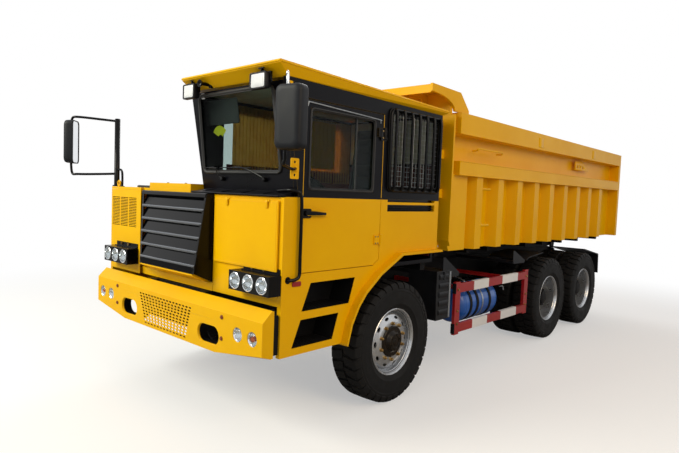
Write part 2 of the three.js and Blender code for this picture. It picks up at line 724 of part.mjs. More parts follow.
function sideGuard() {
  const guardX = [1240, 1276];
  const lower = box(...guardX, 1085, 2860, 462, 561);
  const upper = box(...guardX, 1085, 2860, 894, 993);
  const front = box(...guardX, 1061, 1161, 443, 1012);
  const rear = box(...guardX, 2770, 2875, 443, 1012);
  const arm = (y) => box(railX[1] + gap, 1250, y - 25, y + 25, 930, 975);
  return join(lower, upper, front, rear, arm(1120), arm(2300));
}

function fuelTank() {
  const outline = [];
  const r = 60;
  const corners = [[-620 - r, 990 - r, 0], [-1200 + r, 990 - r, 1], [-1200 + r, 520 + r, 2], [-620 - r, 520 + r, 3]];
  for (const [cx, cz, quarter] of corners) {
    for (let i = 0; i <= 3; i += 1) {
      const angle = ((quarter + i / 3) * Math.PI) / 2;
      outline.push([cx + r * Math.cos(angle), cz + r * Math.sin(angle)]);
    }
  }
  return prism('y', outline, 1350, 2240);
}

add('side_guard_left', sideGuard(), 'red');
add('side_guard_right', mirrored(sideGuard()), 'red');
add('air_tank', rod('y', 215, 1380, 2200, 990, 700, 24), 'blue');
add('fuel_tank', cut(fuelTank(), box(-1300, -400, 1060, 1180, 900, 1000)), 'frame');

function mudguardBox(sign) {
  const shape = prism('x', [[735, 640], [985, 640], [985, 1150], [720, 1150], [720, 900]], 900, 1250);
  return sign > 0 ? shape : mirrored(shape);
}

add('battery_box', mudguardBox(1), 'plastic');
add('tool_box', mudguardBox(-1), 'plastic');

// ---- Load bed, tipping about a pivot at the rear of the rails

const bed = new THREE.Group();
truck.add(bed);

function bedSide() {
  const wall = box(...wallX, bedFrontY + 30, bedRearY - 60, bedBottomZ, railTopZ);
  const topRail = prism('x', [
    [bedRailFrontY, 2560], [bedRearY - 40, 2560], [bedRearY - 40, railTopZ], [bedRailFrontY, railTopZ + 30],
  ], wallX[0], bedRailX);
  const middleRail = box(wallX[0], bedRailX, 916, bedRearY - 70, 2140, 2286);
  const frontPlate = box(wallX[0], 1272, bedFrontY + 30, firstRibY + 40, bedBottomZ, 2150);
  const rearPost = box(wallX[0], bedRailX, bedRearY - 90, bedRearY, bedBottomZ, railTopZ);
  const pieces = [wall, topRail, middleRail, frontPlate, rearPost];
  for (let i = 0; i < ribCount; i += 1) {
    const y = firstRibY + i * ribPitch;
    const inner = wallX[1] - 4;
    const section = [[inner, y + 150], [ribOuterX, y + 195], [ribOuterX, y + 328], [inner, y + 368]];
    pieces.push(prism('z', section, bedBottomZ, 2150));
  }
  return cut(join(...pieces), frontChamfer());
}

// The bed's lower front corners are cut off at a slant.
function frontChamfer() {
  return prism('x', [[bedFrontY - 5, 1340], [bedFrontY + 65, 1340], [bedFrontY - 5, 1480]], wallX[0], 1400);
}

function bedFloor() {
  return box(-wallX[0] + gap, wallX[0] - gap, bedFrontY + 31, bedRearY, 1351, 1385);
}

function bedSubframe() {
  const beam = box(railX[0], railX[1], 900, 5810, 1124, 1350);
  const crossYs = [1000, 1700, 2200, 3300, 3880, 4580, 5280, 6200];
  const cross = (y, low) => box(-1040, 1040, y - 35, y + 35, low, 1346);
  const crosses = [...crossYs.map((y) => cross(y, 1270)), cross(hoistEye.y, 1310)];
  const tailBeam = box(640, 720, 5258, 6222, 1250, 1342);
  const lug = cut(
    prism('x', [[5640, 1180], [5680, 1010], [5760, 1010], [5800, 1180], [5800, 1300], [5640, 1300]], 436, 466),
    rod('x', 33, 400, 520, bedPivot.y, bedPivot.z, 12),
  );
  const lugArm = box(railX[1] - 5, 462, 5645, 5795, 1186, 1340);
  const eyePlate = cut(
    box(62, 82, hoistEye.y - 50, hoistEye.y + 50, hoistEye.z - 45, 1338),
    rod('x', 26, 40, 120, hoistEye.y, hoistEye.z, 16),
  );
  return join(...crosses, ...[beam, tailBeam, lug, lugArm, eyePlate].flatMap(bothSides));
}

function bedFront() {
  const wall = box(-ribOuterX, ribOuterX, bedFrontY, bedFrontY + 29, bedBottomZ, 2744);
  const head = box(-1255, 1255, bedFrontY, bedFrontY + 29, 2740, 2970);
  const roof = box(-1262, 1262, 430, 960, 2966, 2984);
  const lip = box(-1262, 1262, 424, 442, 2905, 2984);
  const cheekFootZ = railTopZ + 36;
  const arc = [];
  for (let i = 0; i <= 6; i += 1) {
    const angle = (i / 6) * (Math.PI / 2);
    arc.push([424 + 431 * Math.sin(angle), cheekFootZ + 139 * Math.cos(angle)]);
  }
  const cheek = prism('x', [[424, 2993], [953, 2981], [1130, 2815], [1130, cheekFootZ], ...arc.reverse()], 1256, 1282);
  const stay = (z) => box(-1200, 1200, bedFrontY - 60, bedFrontY + 5, z, z + 90);
  return join(wall, head, roof, lip, ...bothSides(cheek), stay(1900), stay(2300));
}

add('bed_floor', bedFloor(), 'yellow', bed);
add('bed_subframe', bedSubframe(), 'frame', bed);
add('bed_side_left', bedSide(), 'yellow', bed);
add('bed_side_right', mirrored(bedSide()), 'yellow', bed);
add('bed_front', cut(bedFront(), ...bothSides(frontChamfer())), 'yellow', bed);

const gateHinge = { y: bedRearY + 65, z: 2672 };

function tailgate() {
  const panel = box(-wallX[0] + 8, wallX[0] - 8, bedRearY + 6, bedRearY + 36, 1390, 2640);
  const frame = [
    box(-1240, 1240, bedRearY + 6, rearEndY - 24, 2560, 2660),
    box(-1150, 1150, bedRearY + 20, rearEndY - 24, 1390, 1480),
  ];
  const uprights = [-1080, -640, -215, 215, 640, 1080].map((x) => (
    box(x - 50, x + 50, bedRearY + 20, rearEndY - 24, 1400, 2600)
  ));
  const hinge = (x) => rod('x', 28, x - 60, x + 60, gateHinge.y, gateHinge.z, 12);
  const latch = (x) => box(x - 30, x + 30, bedRearY + 20, rearEndY, 1400, 1470);
  return join(panel, ...frame, ...uprights, hinge(1160), hinge(-1160), latch(1110), latch(-1110));
}

add('tailgate', tailgate(), 'yellow', bed);

// ---- Hoist: a three-stage telescopic ram between the rails, leaning on its line foot to eye

const hoistLean = Math.atan2(hoistEye.y - hoistFoot.y, hoistEye.z - hoistFoot.z);
const hoistLength = Math.hypot(hoistEye.y - hoistFoot.y, hoistEye.z - hoistFoot.z);
const hoist = new THREE.Group();
hoist.position.set(0, hoistFoot.y, hoistFoot.z);
hoist.rotation.x = -hoistLean;
truck.add(hoist);

// A cup closed below and open above, standing on its foot at height z0.
function cup(outer, inner, z0, z1) {
  const wall = turned([[0, z0], [outer, z0], [outer, z1], [inner, z1], [inner, z0 + 20], [0, z0 + 20]], 14);
  return faceOutward(wall.rotateY(-Math.PI / 2));
}

const stageRadius = [100, 84, 68, 50];
const cupTop = 780;
const barrel = join(cup(stageRadius[0], stageRadius[1] + 2, -45, cupTop), rod('x', 28, -165, 165, 0, 0, 16));
add('hoist_barrel', cut(barrel, rod('z', stageRadius[1] + 2, 35, 900, 0, 0, 14)), 'frame', hoist);
add('hoist_stage_1', cup(stageRadius[1], stageRadius[2] + 2, 40, cupTop + 12), 'chrome', hoist);
add('hoist_stage_2', cup(stageRadius[2], stageRadius[3] + 2, 64, cupTop + 24), 'chrome', hoist);
const rodEye = rod('x', 34, -56, 56, 0, hoistLength, 12);
const eyeBore = rod('x', 22, -90, 90, 0, hoistLength, 12);
const rodBody = rod('z', stageRadius[3], 90, hoistLength - 10, 0, 0, 14);
add('hoist_rod', cut(join(rodBody, rodEye), eyeBore), 'chrome', hoist);

export default truck;
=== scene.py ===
import math

import bmesh
import bpy
from mathutils import Matrix, Vector


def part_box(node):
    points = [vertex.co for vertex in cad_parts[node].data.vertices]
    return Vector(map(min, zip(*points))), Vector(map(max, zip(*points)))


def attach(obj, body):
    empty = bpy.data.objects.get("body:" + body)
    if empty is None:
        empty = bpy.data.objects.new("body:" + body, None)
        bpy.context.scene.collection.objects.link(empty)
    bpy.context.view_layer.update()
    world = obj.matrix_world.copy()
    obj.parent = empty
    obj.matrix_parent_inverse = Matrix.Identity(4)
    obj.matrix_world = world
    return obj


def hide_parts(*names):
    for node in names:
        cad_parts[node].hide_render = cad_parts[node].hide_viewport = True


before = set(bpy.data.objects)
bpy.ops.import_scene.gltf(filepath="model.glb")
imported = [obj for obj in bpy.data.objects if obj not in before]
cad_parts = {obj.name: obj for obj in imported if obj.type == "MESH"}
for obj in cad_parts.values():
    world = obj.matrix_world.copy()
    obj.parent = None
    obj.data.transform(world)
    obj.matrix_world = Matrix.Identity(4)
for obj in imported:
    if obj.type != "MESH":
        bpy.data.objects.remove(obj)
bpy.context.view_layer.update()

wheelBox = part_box("front_wheel_left")
axleY = (wheelBox[0].y + wheelBox[1].y) / 2  # the front axle, from which lengths along the truck are counted


def at(x, y, z):  # millimetres, with y counted from the front axle
    return Vector((x / 1000, axleY + y / 1000, z / 1000))


# Camera, light and floor

camera = {"place": (4.2475, -6.3599, 1.9145), "yaw": 42.335, "pitch": 3.517, "roll": -2.225, "lens": 29.222}


def makeCamera():
    yaw, pitch, roll = (math.radians(camera[k]) for k in ("yaw", "pitch", "roll"))
    ahead = Vector((-math.sin(yaw) * math.cos(pitch), math.cos(yaw) * math.cos(pitch), -math.sin(pitch)))
    right = ahead.cross(Vector((0, 0, 1))).normalized()
    up = right.cross(ahead)
    across = right * math.cos(roll) - up * math.sin(roll)
    above = right * math.sin(roll) + up * math.cos(roll)
    data = bpy.data.cameras.new("camera")
    data.sensor_width = 36
    data.lens = camera["lens"]
    data.clip_end = 200
    obj = bpy.data.objects.new("camera", data)
    turned = Matrix((across, above, -ahead)).transposed().to_4x4()
    obj.matrix_world = Matrix.Translation(camera["place"]) @ turned
    bpy.context.scene.collection.objects.link(obj)
    bpy.context.scene.camera = obj


def linear(code):
    channels = [int(code[i:i + 2], 16) / 255 for i in (1, 3, 5)]
    return tuple(c / 12.92 if c <= 0.04045 else ((c + 0.055) / 1.055) ** 2.4 for c in channels) + (1.0,)


def addNode(tree, kind, settings, links=()):
    node = tree.nodes.new(kind)
    for key, value in settings.items():
        if isinstance(key, int) or key in node.inputs:
            node.inputs[key].default_value = value
        else:
            setattr(node, key, value)
    for key, source in dict(links).items():
        tree.links.new(source, node.inputs[key])
    return node


lighting = {
    "skyShine": 0.42, "sky": "#FFFFFF",
    "lamps": [  # place, aim, size in metres, watts, colour
        ((-3.5, -11.5, 7.0), (0, -2, 1.2), 5.0, 980, "#FFFDEC"),
        ((11.0, -4.0, 7.0), (0, 0.5, 1.2), 6.0, 460, "#FFE0B4"),
        ((-7.0, 7.5, 8.5), (0, 2, 1.0), 6.0, 450, "#FFFFFF"),
    ],
}
paper = {"bounce": "#B4B4B4", "seen": "#FFFFFF", "lift": 0.42, "fadeFrom": 5.0, "fadeTo": 9.5}  # metres


def makeStudio():
    world = bpy.data.worlds.new("studio")
    bpy.context.scene.world = world
    world.use_nodes = True
    tree = world.node_tree
    tree.nodes.clear()
    path = addNode(tree, "ShaderNodeLightPath", {})
    seen = addNode(tree, "ShaderNodeMath", {"operation": "MAXIMUM"},
                   {0: path.outputs["Is Camera Ray"], 1: path.outputs["Is Glossy Ray"]})
    seen = addNode(tree, "ShaderNodeMath", {"operation": "MAXIMUM"},
                   {0: seen.outputs[0], 1: path.outputs["Is Transmission Ray"]})
    strength = addNode(tree, "ShaderNodeMapRange", {"To Min": lighting["skyShine"], "To Max": 1.0},
                       {"Value": seen.outputs[0]})
    glow = addNode(tree, "ShaderNodeBackground", {"Color": linear(lighting["sky"])},
                   {"Strength": strength.outputs[0]})
    addNode(tree, "ShaderNodeOutputWorld", {}, {"Surface": glow.outputs[0]})

    for i, (place, aim, size, watts, colour) in enumerate(lighting["lamps"]):
        data = bpy.data.lights.new(f"softbox{i}", "AREA")
        data.size = size
        data.energy = watts
        data.color = linear(colour)[:3]
        lamp = bpy.data.objects.new(f"softbox{i}", data)
        lamp.location = place
        lamp.rotation_euler = (Vector(aim) - Vector(place)).to_track_quat("-Z", "Y").to_euler()
        bpy.context.scene.collection.objects.link(lamp)

    mesh = bpy.data.meshes.new("studioFloor")
    mesh.from_pydata([(-60, -60, 0), (60, -60, 0), (60, 60, 0), (-60, 60, 0)], [], [(0, 1, 2, 3)])
    floor = bpy.data.objects.new("studioFloor", mesh)
    bpy.context.scene.collection.objects.link(floor)
    paint = bpy.data.materials.new("white studio paper")
    paint.use_nodes = True
    tree = paint.node_tree
    shader = tree.nodes["Principled BSDF"]
    shader.inputs["Roughness"].default_value = 0.9
    shader.inputs["Specular IOR Level"].default_value = 0.0
    path = addNode(tree, "ShaderNodeLightPath", {})
    tone = addNode(tree, "ShaderNodeMix", {"data_type": "RGBA", 6: linear(paper["bounce"]),
                                           7: linear(paper["seen"])}, {0: path.outputs["Is Camera Ray"]})
    tree.links.new(tone.outputs[2], shader.inputs["Base Color"])
    spot = addNode(tree, "ShaderNodeNewGeometry", {}).outputs["Position"]
    away = addNode(tree, "ShaderNodeVectorMath", {"operation": "LENGTH"}, {0: spot}).outputs["Value"]
    fade = addNode(tree, "ShaderNodeMapRange", {"interpolation_type": "SMOOTHSTEP",
                                                "From Min": paper["fadeFrom"], "From Max": paper["fadeTo"],
                                                "To Min": paper["lift"], "To Max": 1.0}, {"Value": away})
    share = addNode(tree, "ShaderNodeMath", {"operation": "MULTIPLY"},
                    {0: fade.outputs[0], 1: path.outputs["Is Camera Ray"]})
    glow = addNode(tree, "ShaderNodeEmission", {"Color": linear(paper["seen"])})
    paintOut = addNode(tree, "ShaderNodeMixShader", {}, {0: share.outputs[0], 1: shader.outputs[0],
            2: glow.outputs[0]})
    tree.links.new(paintOut.outputs[0], tree.nodes["Material Output"].inputs["Surface"])
    mesh.materials.append(paint)


makeCamera()
makeStudio()
bpy.context.scene.view_settings.view_transform = "Standard"
print("camera, light and floor are in place")


# Finishes. Each look holds sRGB colours, sizes in millimetres and the shader's own values.

def makeFinish(name, look):
    material = bpy.data.materials.new(name)
    material.use_nodes = True
    tree = material.node_tree
    shader = tree.nodes["Principled BSDF"]
    for socket, value in look.get("shader", {}).items():
        shader.inputs[socket].default_value = value
    place = addNode(tree, "ShaderNodeTexCoord", {}).outputs["Object"]
    patch = addNode(tree, "ShaderNodeTexNoise", {"Scale": 1000 / look["patch"], "Detail": 4.0,
            "Roughness": 0.6}, {"Vector": place})
    share = addNode(tree, "ShaderNodeMapRange", {"From Min": 0.35, "From Max": 0.68},
                    {"Value": patch.outputs[0]})
    colour = addNode(tree, "ShaderNodeMix", {"data_type": "RGBA", 6: linear(look["hex"]),
                                             7: linear(look["second"])}, {0: share.outputs[0]}).outputs[2]
    if "upper" in look:  # masked off along a line at that height
        over = addNode(tree, "ShaderNodeMath", {"operation": "GREATER_THAN", 1: look["upper"] / 1000},
                       {0: addNode(tree, "ShaderNodeSeparateXYZ", {}, {0: place}).outputs["Z"]})
        colour = addNode(tree, "ShaderNodeMix", {"data_type": "RGBA", 7: linear(look["upperHex"])},
                         {0: over.outputs[0], 6: colour}).outputs[2]
    if "dust" in look:  # road dust lies thickest near the wheels and thins out upwards
        height = addNode(tree, "ShaderNodeSeparateXYZ", {}, {0: place}).outputs["Z"]
        low = addNode(tree, "ShaderNodeMapRange", {"From Min": look["dustTop"] / 1000, "From Max": 0.05,
                                                   "To Max": look["dust"]}, {"Value": height})
        spots = addNode(tree, "ShaderNodeTexNoise", {"Scale": 1000 / look["dustPatch"], "Detail": 6.0},
                        {"Vector": place})
        cover = addNode(tree, "ShaderNodeMath", {"operation": "MULTIPLY", "use_clamp": True},
                        {0: low.outputs[0], 1: spots.outputs[0]})
        colour = addNode(tree, "ShaderNodeMix", {"data_type": "RGBA", 7: linear(look["dustHex"])},
                         {0: cover.outputs[0], 6: colour}).outputs[2]
    if "wear" in look:  # the coat is thinner and paler along pressed edges
        edge = addNode(tree, "ShaderNodeBevel", {"samples": 3, "Radius": look["wear"] / 1000})
        flat = addNode(tree, "ShaderNodeNewGeometry", {})
        dot = addNode(tree, "ShaderNodeVectorMath", {"operation": "DOT_PRODUCT"},
                      {0: edge.outputs[0], 1: flat.outputs["Normal"]})
        rubbed = addNode(tree, "ShaderNodeMapRange", {"From Min": 0.97, "From Max": 0.80,
                "To Max": look["wearShare"]}, {"Value": dot.outputs["Value"]})
        colour = addNode(tree, "ShaderNodeMix", {"data_type": "RGBA", 7: linear(look["wearHex"])},
                         {0: rubbed.outputs[0], 6: colour}).outputs[2]
    tree.links.new(colour, shader.inputs["Base Color"])
    rough = addNode(tree, "ShaderNodeMapRange", {"From Min": 0.3, "From Max": 0.7,
                    "To Min": look["rough"][0], "To Max": look["rough"][1]}, {"Value": patch.outputs[0]})
    tree.links.new(rough.outputs[0], shader.inputs["Roughness"])
    if look.get("weave"):
        height = weaveHeight(tree, place, look["grain"])
    else:
        height = addNode(tree, "ShaderNodeTexNoise", {"Scale": 1000 / look["grain"], "Detail": 3.0},
                         {"Vector": place}).outputs[0]
    bump = addNode(tree, "ShaderNodeBump", {"Distance": look["depth"] / 1000, "Strength": 1.0},
                   {"Height": height})
    tree.links.new(bump.outputs[0], shader.inputs["Normal"])
    return material


def weaveHeight(tree, place, pitch):
    waves = [addNode(tree, "ShaderNodeTexWave", {"bands_direction": way, "Scale": 1000 / pitch / 3.2,
            "Distortion": 0.6}, {"Vector": place}).outputs["Fac"] for way in ("X", "Z")]
    return addNode(tree, "ShaderNodeMath", {"operation": "MAXIMUM"}, {0: waves[0], 1: waves[1]}).outputs[0]


enamel = {"patch": 620, "grain": 9, "depth": 0.08, "rough": (0.34, 0.42), "dust": 0.2, "dustTop": 1300,
          "dustPatch": 70, "dustHex": "#8E6A2C", "wear": 5, "wearShare": 0.30, "wearHex": "#FFD34A"}

# Two-pack enamel sprayed on rolled plate: wet gloss, its orange peel drawn coarser than real to show
yellowLook = {**enamel, "hex": "#F2BA00", "second": "#EDB200",
              "shader": {"IOR": 1.5, "Coat Weight": 0.04, "Coat Roughness": 0.12, "Specular IOR Level": 0.1}}
yellowEnamel = makeFinish("yellow two-pack enamel", yellowLook)
# The cab skin: yellow below the belt, masked and sprayed blue-black above it
twoToneEnamel = makeFinish("two-tone cab enamel", {**yellowLook, "upper": 1868, "upperHex": "#08080E",
    "wearShare": 0.14, "dustTop": 1100})
# The same enamel in blue-black on the upper cab: deep, with a cold sheen
blackEnamel = makeFinish("blue-black two-pack enamel", {**enamel, "hex": "#06060B", "second": "#0A0A12",
    "rough": (0.26, 0.34), "dust": 0.06, "wearShare": 0.16, "wearHex": "#33353F",
    "shader": {"IOR": 1.5, "Coat Weight": 0.05, "Coat Roughness": 0.08, "Specular IOR Level": 0.12}})
# Glossy stoved black on the grille and lamp boxes
stoveBlack = makeFinish("stoved black enamel", {**enamel, "hex": "#050506", "second": "#0A0A0B",
    "rough": (0.20, 0.28), "dust": 0.06, "wearShare": 0.14, "wearHex": "#3A3A3A",
    "shader": {"IOR": 1.5, "Coat Weight": 0.08, "Coat Roughness": 0.06, "Specular IOR Level": 0.14}})
# The grille blades carry a thicker, wetter coat; their rolled lips are black enamel under a glossy clear
# coat, with a blue-grey base colour that is a painted reflection of the sky
blade = {**enamel, "hex": "#030305", "second": "#060608", "rough": (0.07, 0.12), "dust": 0.03,
         "wearShare": 0.1, "wearHex": "#8A909A"}
bladeBlack = makeFinish("gloss-flooded blade enamel", {**blade,
    "shader": {"IOR": 1.5, "Coat Weight": 0.05, "Coat Roughness": 0.05, "Specular IOR Level": 0.16}})
# Blue-grey hex and second of the lips: painted sky reflection on black enamel, under a real glossy coat
lipPaintedReflection = makeFinish("blade lip enamel with painted sky reflection", {**blade, "hex": "#1C2734", "second": "#141C26",
    "shader": {"IOR": 1.5, "Coat Weight": 1.0, "Coat Roughness": 0.05, "Specular IOR Level": 0.9}})
# Brushed-on satin chassis black, dusty low down
chassisBlack = makeFinish("satin chassis black", {**enamel, "hex": "#08080A", "second": "#0F0F10",
    "patch": 240, "grain": 6, "depth": 0.25, "rough": (0.50, 0.68), "dust": 0.08, "dustHex": "#3A342B",
    "wearShare": 0.2, "wearHex": "#333230", "shader": {"IOR": 1.5, "Specular IOR Level": 0.12}})
# Carbon-black natural rubber, vulcanised in a mould: matt, with a grey bloom
tyreRubber = makeFinish("carbon-black tyre rubber", {"hex": "#0B0B0C", "second": "#121213", "patch": 120,
    "grain": 5, "depth": 0.3, "rough": (0.62, 0.85), "wear": 6, "wearShare": 0.25, "wearHex": "#3A3937",
    "shader": {"IOR": 1.52, "Specular IOR Level": 0.20}})
# Aluminium-flake wheel enamel: silver, fine sparkle, half matt
wheelSilver = makeFinish("aluminium-flake wheel enamel", {"hex": "#BFC2C6", "second": "#ABAEB3", "patch": 60,
    "grain": 4, "depth": 0.08, "rough": (0.24, 0.36), "wear": 3, "wearShare": 0.3, "wearHex": "#D4D6D8",
    "shader": {"Metallic": 0.85, "Coat Weight": 0.2, "Coat Roughness": 0.12}})
# Zinc plating passivated yellow: brassy, thin and patchy, on nuts and bolts
yellowZinc = makeFinish("yellow-passivated zinc", {"hex": "#B4935A", "second": "#8F7A55", "patch": 14,
    "grain": 2, "depth": 0.05, "rough": (0.28, 0.45), "shader": {"Metallic": 1.0}})
# Bolt heads that rust through their primer
rustySteel = makeFinish("rusting bolt steel", {"hex": "#7B3A26", "second": "#9A5A3C", "patch": 8, "grain": 2,
    "depth": 0.3, "rough": (0.55, 0.8), "shader": {"Metallic": 0.3}})
# Ground and hard-chromed steel of the hoist tubes
hardChrome = makeFinish("ground hard chrome", {"hex": "#C9CDD1", "second": "#B7BCC1", "patch": 90, "grain": 3,
    "depth": 0.02, "rough": (0.12, 0.22), "shader": {"Metallic": 1.0}})
# Galvanised strip: spangled dull zinc
galvanised = makeFinish("galvanised steel strip", {"hex": "#A9ADB0", "second": "#8D9296", "patch": 22,
    "grain": 5, "depth": 0.05, "rough": (0.32, 0.5), "shader": {"Metallic": 0.9}})
# Bare cast iron of the engine, sand-moulded
castIron = makeFinish("sand-cast iron", {"hex": "#3E4042", "second": "#4D4F50", "patch": 90, "grain": 4,
    "depth": 0.6, "rough": (0.5, 0.7), "dust": 0.4, "dustTop": 1500, "dustPatch": 40, "dustHex": "#5B5143",
    "shader": {"Metallic": 0.5}})
# Grained polypropylene, injection moulded: mirror shells, boxes and mudguards
mouldedPlastic = makeFinish("grained polypropylene", {"hex": "#0A0C11", "second": "#10131A", "patch": 150,
    "grain": 3, "depth": 0.12, "rough": (0.42, 0.55), "dust": 0.12, "dustTop": 1300, "dustPatch": 60,
    "dustHex": "#5E5446", "shader": {"IOR": 1.49, "Specular IOR Level": 0.25}})
# EPDM sealing rubber around the panes
sealRubber = makeFinish("window seal rubber", {"hex": "#0E0E0F", "second": "#151516", "patch": 60, "grain": 3,
    "depth": 0.1, "rough": (0.5, 0.65), "shader": {"IOR": 1.52}})
# Red and white enamel of the side guard, and the blue of the air tank
redEnamel = makeFinish("signal red enamel", {**enamel, "hex": "#A40A12", "second": "#92080E",
    "wearHex": "#C4413C", "dust": 0.05, "shader": {"IOR": 1.5, "Coat Weight": 0.3, "Coat Roughness": 0.12}})
whiteEnamel = makeFinish("white enamel band", {**enamel, "hex": "#ECEEF2", "second": "#E0E3E8",
    "wearHex": "#FFFFFF", "dust": 0.06, "rough": (0.38, 0.48), "shader": {"IOR": 1.5}})
blueEnamel = makeFinish("blue vessel enamel", {**enamel, "hex": "#0A5FC4", "second": "#0852AC",
    "wearHex": "#4E94D4", "dust": 0.06, "shader": {"IOR": 1.5, "Coat Weight": 0.3, "Coat Roughness": 0.1}})
# Vinyl-coated trim boards inside the cab, and a blind of thin cloth that lets some light through; the blind's
# tan is partly painted light, set paler to stand in for the daylight behind it
redVinyl = makeFinish("oxblood trim vinyl", {"hex": "#5E1C20", "second": "#6B2226", "patch": 130, "grain": 4,
    "depth": 0.3, "rough": (0.45, 0.6), "shader": {"IOR": 1.48}})
# Pale tan of the blind: its own colour, lifted by painted light standing in for the window behind it
blindCloth = makeFinish("pleated blind cloth", {"hex": "#E2B256", "second": "#CB9A44", "patch": 90,
    "grain": 6, "depth": 0.4, "weave": True, "rough": (0.8, 0.9),
    "shader": {"Transmission Weight": 0.55, "IOR": 1.1}})
creamVinyl = makeFinish("cream trim vinyl", {"hex": "#E4DDC8", "second": "#D8D0B8", "patch": 160, "grain": 4,
    "depth": 0.3, "rough": (0.5, 0.65), "shader": {"IOR": 1.48}})
# Plain-woven polyester seat cloth, thread pitch drawn at 5 mm so that it shows
seatCloth = makeFinish("woven polyester seat cloth", {"hex": "#3C4654", "second": "#2C333E", "patch": 60,
    "grain": 5, "depth": 0.6, "weave": True, "rough": (0.8, 0.95),
    "shader": {"Sheen Weight": 0.35, "Sheen Roughness": 0.4}})
# Red moulded acrylic of reflectors and rear lamps, and amber-dyed bulb glass
redAcrylic = makeFinish("red reflector acrylic", {"hex": "#8E1B1B", "second": "#A12222", "patch": 20,
    "grain": 3, "depth": 0.4, "rough": (0.15, 0.25), "shader": {"IOR": 1.49}})
amberGlass = makeFinish("amber bulb glass", {"hex": "#D4621E", "second": "#C2551A", "patch": 20, "grain": 3,
    "depth": 0.2, "rough": (0.12, 0.2), "shader": {"IOR": 1.49, "Transmission Weight": 0.3}})
# Vacuum-metallised reflector bowl and the mirror's silvered pane
silvered = makeFinish("silvered reflector", {"hex": "#E4E7EA", "second": "#DADEE2", "patch": 40, "grain": 12,
    "depth": 0.05, "rough": (0.05, 0.12), "shader": {"Metallic": 1.0}})
# Opal lens of the work lamps
opalLens = makeFinish("frosted lamp lens", {"hex": "#EEF0F2", "second": "#DDE0E4", "patch": 30, "grain": 6,
    "depth": 0.8, "rough": (0.2, 0.32), "shader": {"IOR": 1.5, "Coat Weight": 0.3}})


def makeGlass(name, look):  # thin panes let lamp light and shadows through
    material = bpy.data.materials.new(name)
    material.use_nodes = True
    tree = material.node_tree
    shader = tree.nodes["Principled BSDF"]
    for socket, value in look["shader"].items():
        shader.inputs[socket].default_value = value
    place = addNode(tree, "ShaderNodeTexCoord", {}).outputs["Object"]
    film = addNode(tree, "ShaderNodeTexNoise", {"Scale": 1000 / look["patch"], "Detail": 5.0},
                   {"Vector": place})
    tint = addNode(tree, "ShaderNodeMix", {"data_type": "RGBA", 6: linear(look["hex"]),
                                           7: linear(look["second"])}, {0: film.outputs[0]})
    rough = addNode(tree, "ShaderNodeMapRange", {"To Min": look["rough"][0], "To Max": look["rough"][1]},
                    {"Value": film.outputs[0]})
    tree.links.new(tint.outputs[2], shader.inputs["Base Color"])
    tree.links.new(rough.outputs[0], shader.inputs["Roughness"])
    ripple = addNode(tree, "ShaderNodeTexNoise", {"Scale": 1000 / look["ripple"], "Detail": 2.0},
                     {"Vector": place})
    bump = addNode(tree, "ShaderNodeBump", {"Distance": look["depth"] / 1000}, {"Height": ripple.outputs[0]})
    tree.links.new(bump.outputs[0], shader.inputs["Normal"])
    through = addNode(tree, "ShaderNodeBsdfTransparent", {"Color": linear(look["through"])})
    path = addNode(tree, "ShaderNodeLightPath", {})
    either = addNode(tree, "ShaderNodeMath", {"operation": "MAXIMUM"},
                     {0: path.outputs["Is Shadow Ray"], 1: path.outputs["Is Diffuse Ray"]})
    mixed = addNode(tree, "ShaderNodeMixShader", {},
                    {0: either.outputs[0], 1: shader.outputs[0], 2: through.outputs[0]})
    tree.links.new(mixed.outputs[0], tree.nodes["Material Output"].inputs["Surface"])
    return material


# Toughened float glass, faintly green, with a thin film of dust
cabGlass = makeGlass("toughened float glass", {"hex": "#C9D6D4", "second": "#BFCBC8", "patch": 180,
    "ripple": 260, "depth": 0.4, "rough": (0.0, 0.04), "through": "#CDD8D6",
    "shader": {"Transmission Weight": 1.0, "IOR": 1.08, "Specular IOR Level": 0.5, "Coat Weight": 0.10,
    "Coat Roughness": 0.02}})
# Pressed lamp glass with fine flutes
lampGlass = makeGlass("pressed lamp glass", {"hex": "#F2F5F6", "second": "#E6EBEC", "patch": 30, "ripple": 9,
    "depth": 0.9, "rough": (0.02, 0.08), "through": "#F4F6F6",
    "shader": {"Transmission Weight": 1.0, "IOR": 1.12, "Coat Weight": 0.5, "Coat Roughness": 0.03}})
print("finishes are mixed")


# Shapes are drawn in millimetres into one mesh for each piece

def addFaces(shape, corners, faces):
    verts = [shape.verts.new(c) for c in corners]
    for face in faces:
        shape.faces.new([verts[i] for i in face])
    return verts


def addBlock(shape, x, y, z):
    corners = [at(i, j, k) for k in z for j in y for i in x]
    addFaces(shape, corners, [(0, 2, 3, 1), (4, 5, 7, 6), (0, 1, 5, 4), (2, 6, 7, 3), (0, 4, 6, 2),
                              (1, 3, 7, 5)])


def addPrism(shape, along, outline, start, stop):
    def corner(u, v, w):
        return {"x": at(w, u, v), "y": at(u, w, v), "z": at(u, v, w)}[along]
    n = len(outline)
    corners = [corner(u, v, w) for w in (start, stop) for u, v in outline]
    sides = [(i, (i + 1) % n, n + (i + 1) % n, n + i) for i in range(n)]
    addFaces(shape, corners, [tuple(range(n))[::-1], tuple(range(n, 2 * n)), *sides])


def addLoft(shape, rings, capped=True):
    n = len(rings[0])
    corners = [p for ring in rings for p in ring]
    faces = []
    for r in range(len(rings) - 1):
        for i in range(n):
            j = (i + 1) % n
            faces.append((r * n + i, r * n + j, (r + 1) * n + j, (r + 1) * n + i))
    if capped:
        faces += [tuple(range(n))[::-1], tuple(range((len(rings) - 1) * n, len(rings) * n))]
    addFaces(shape, corners, faces)


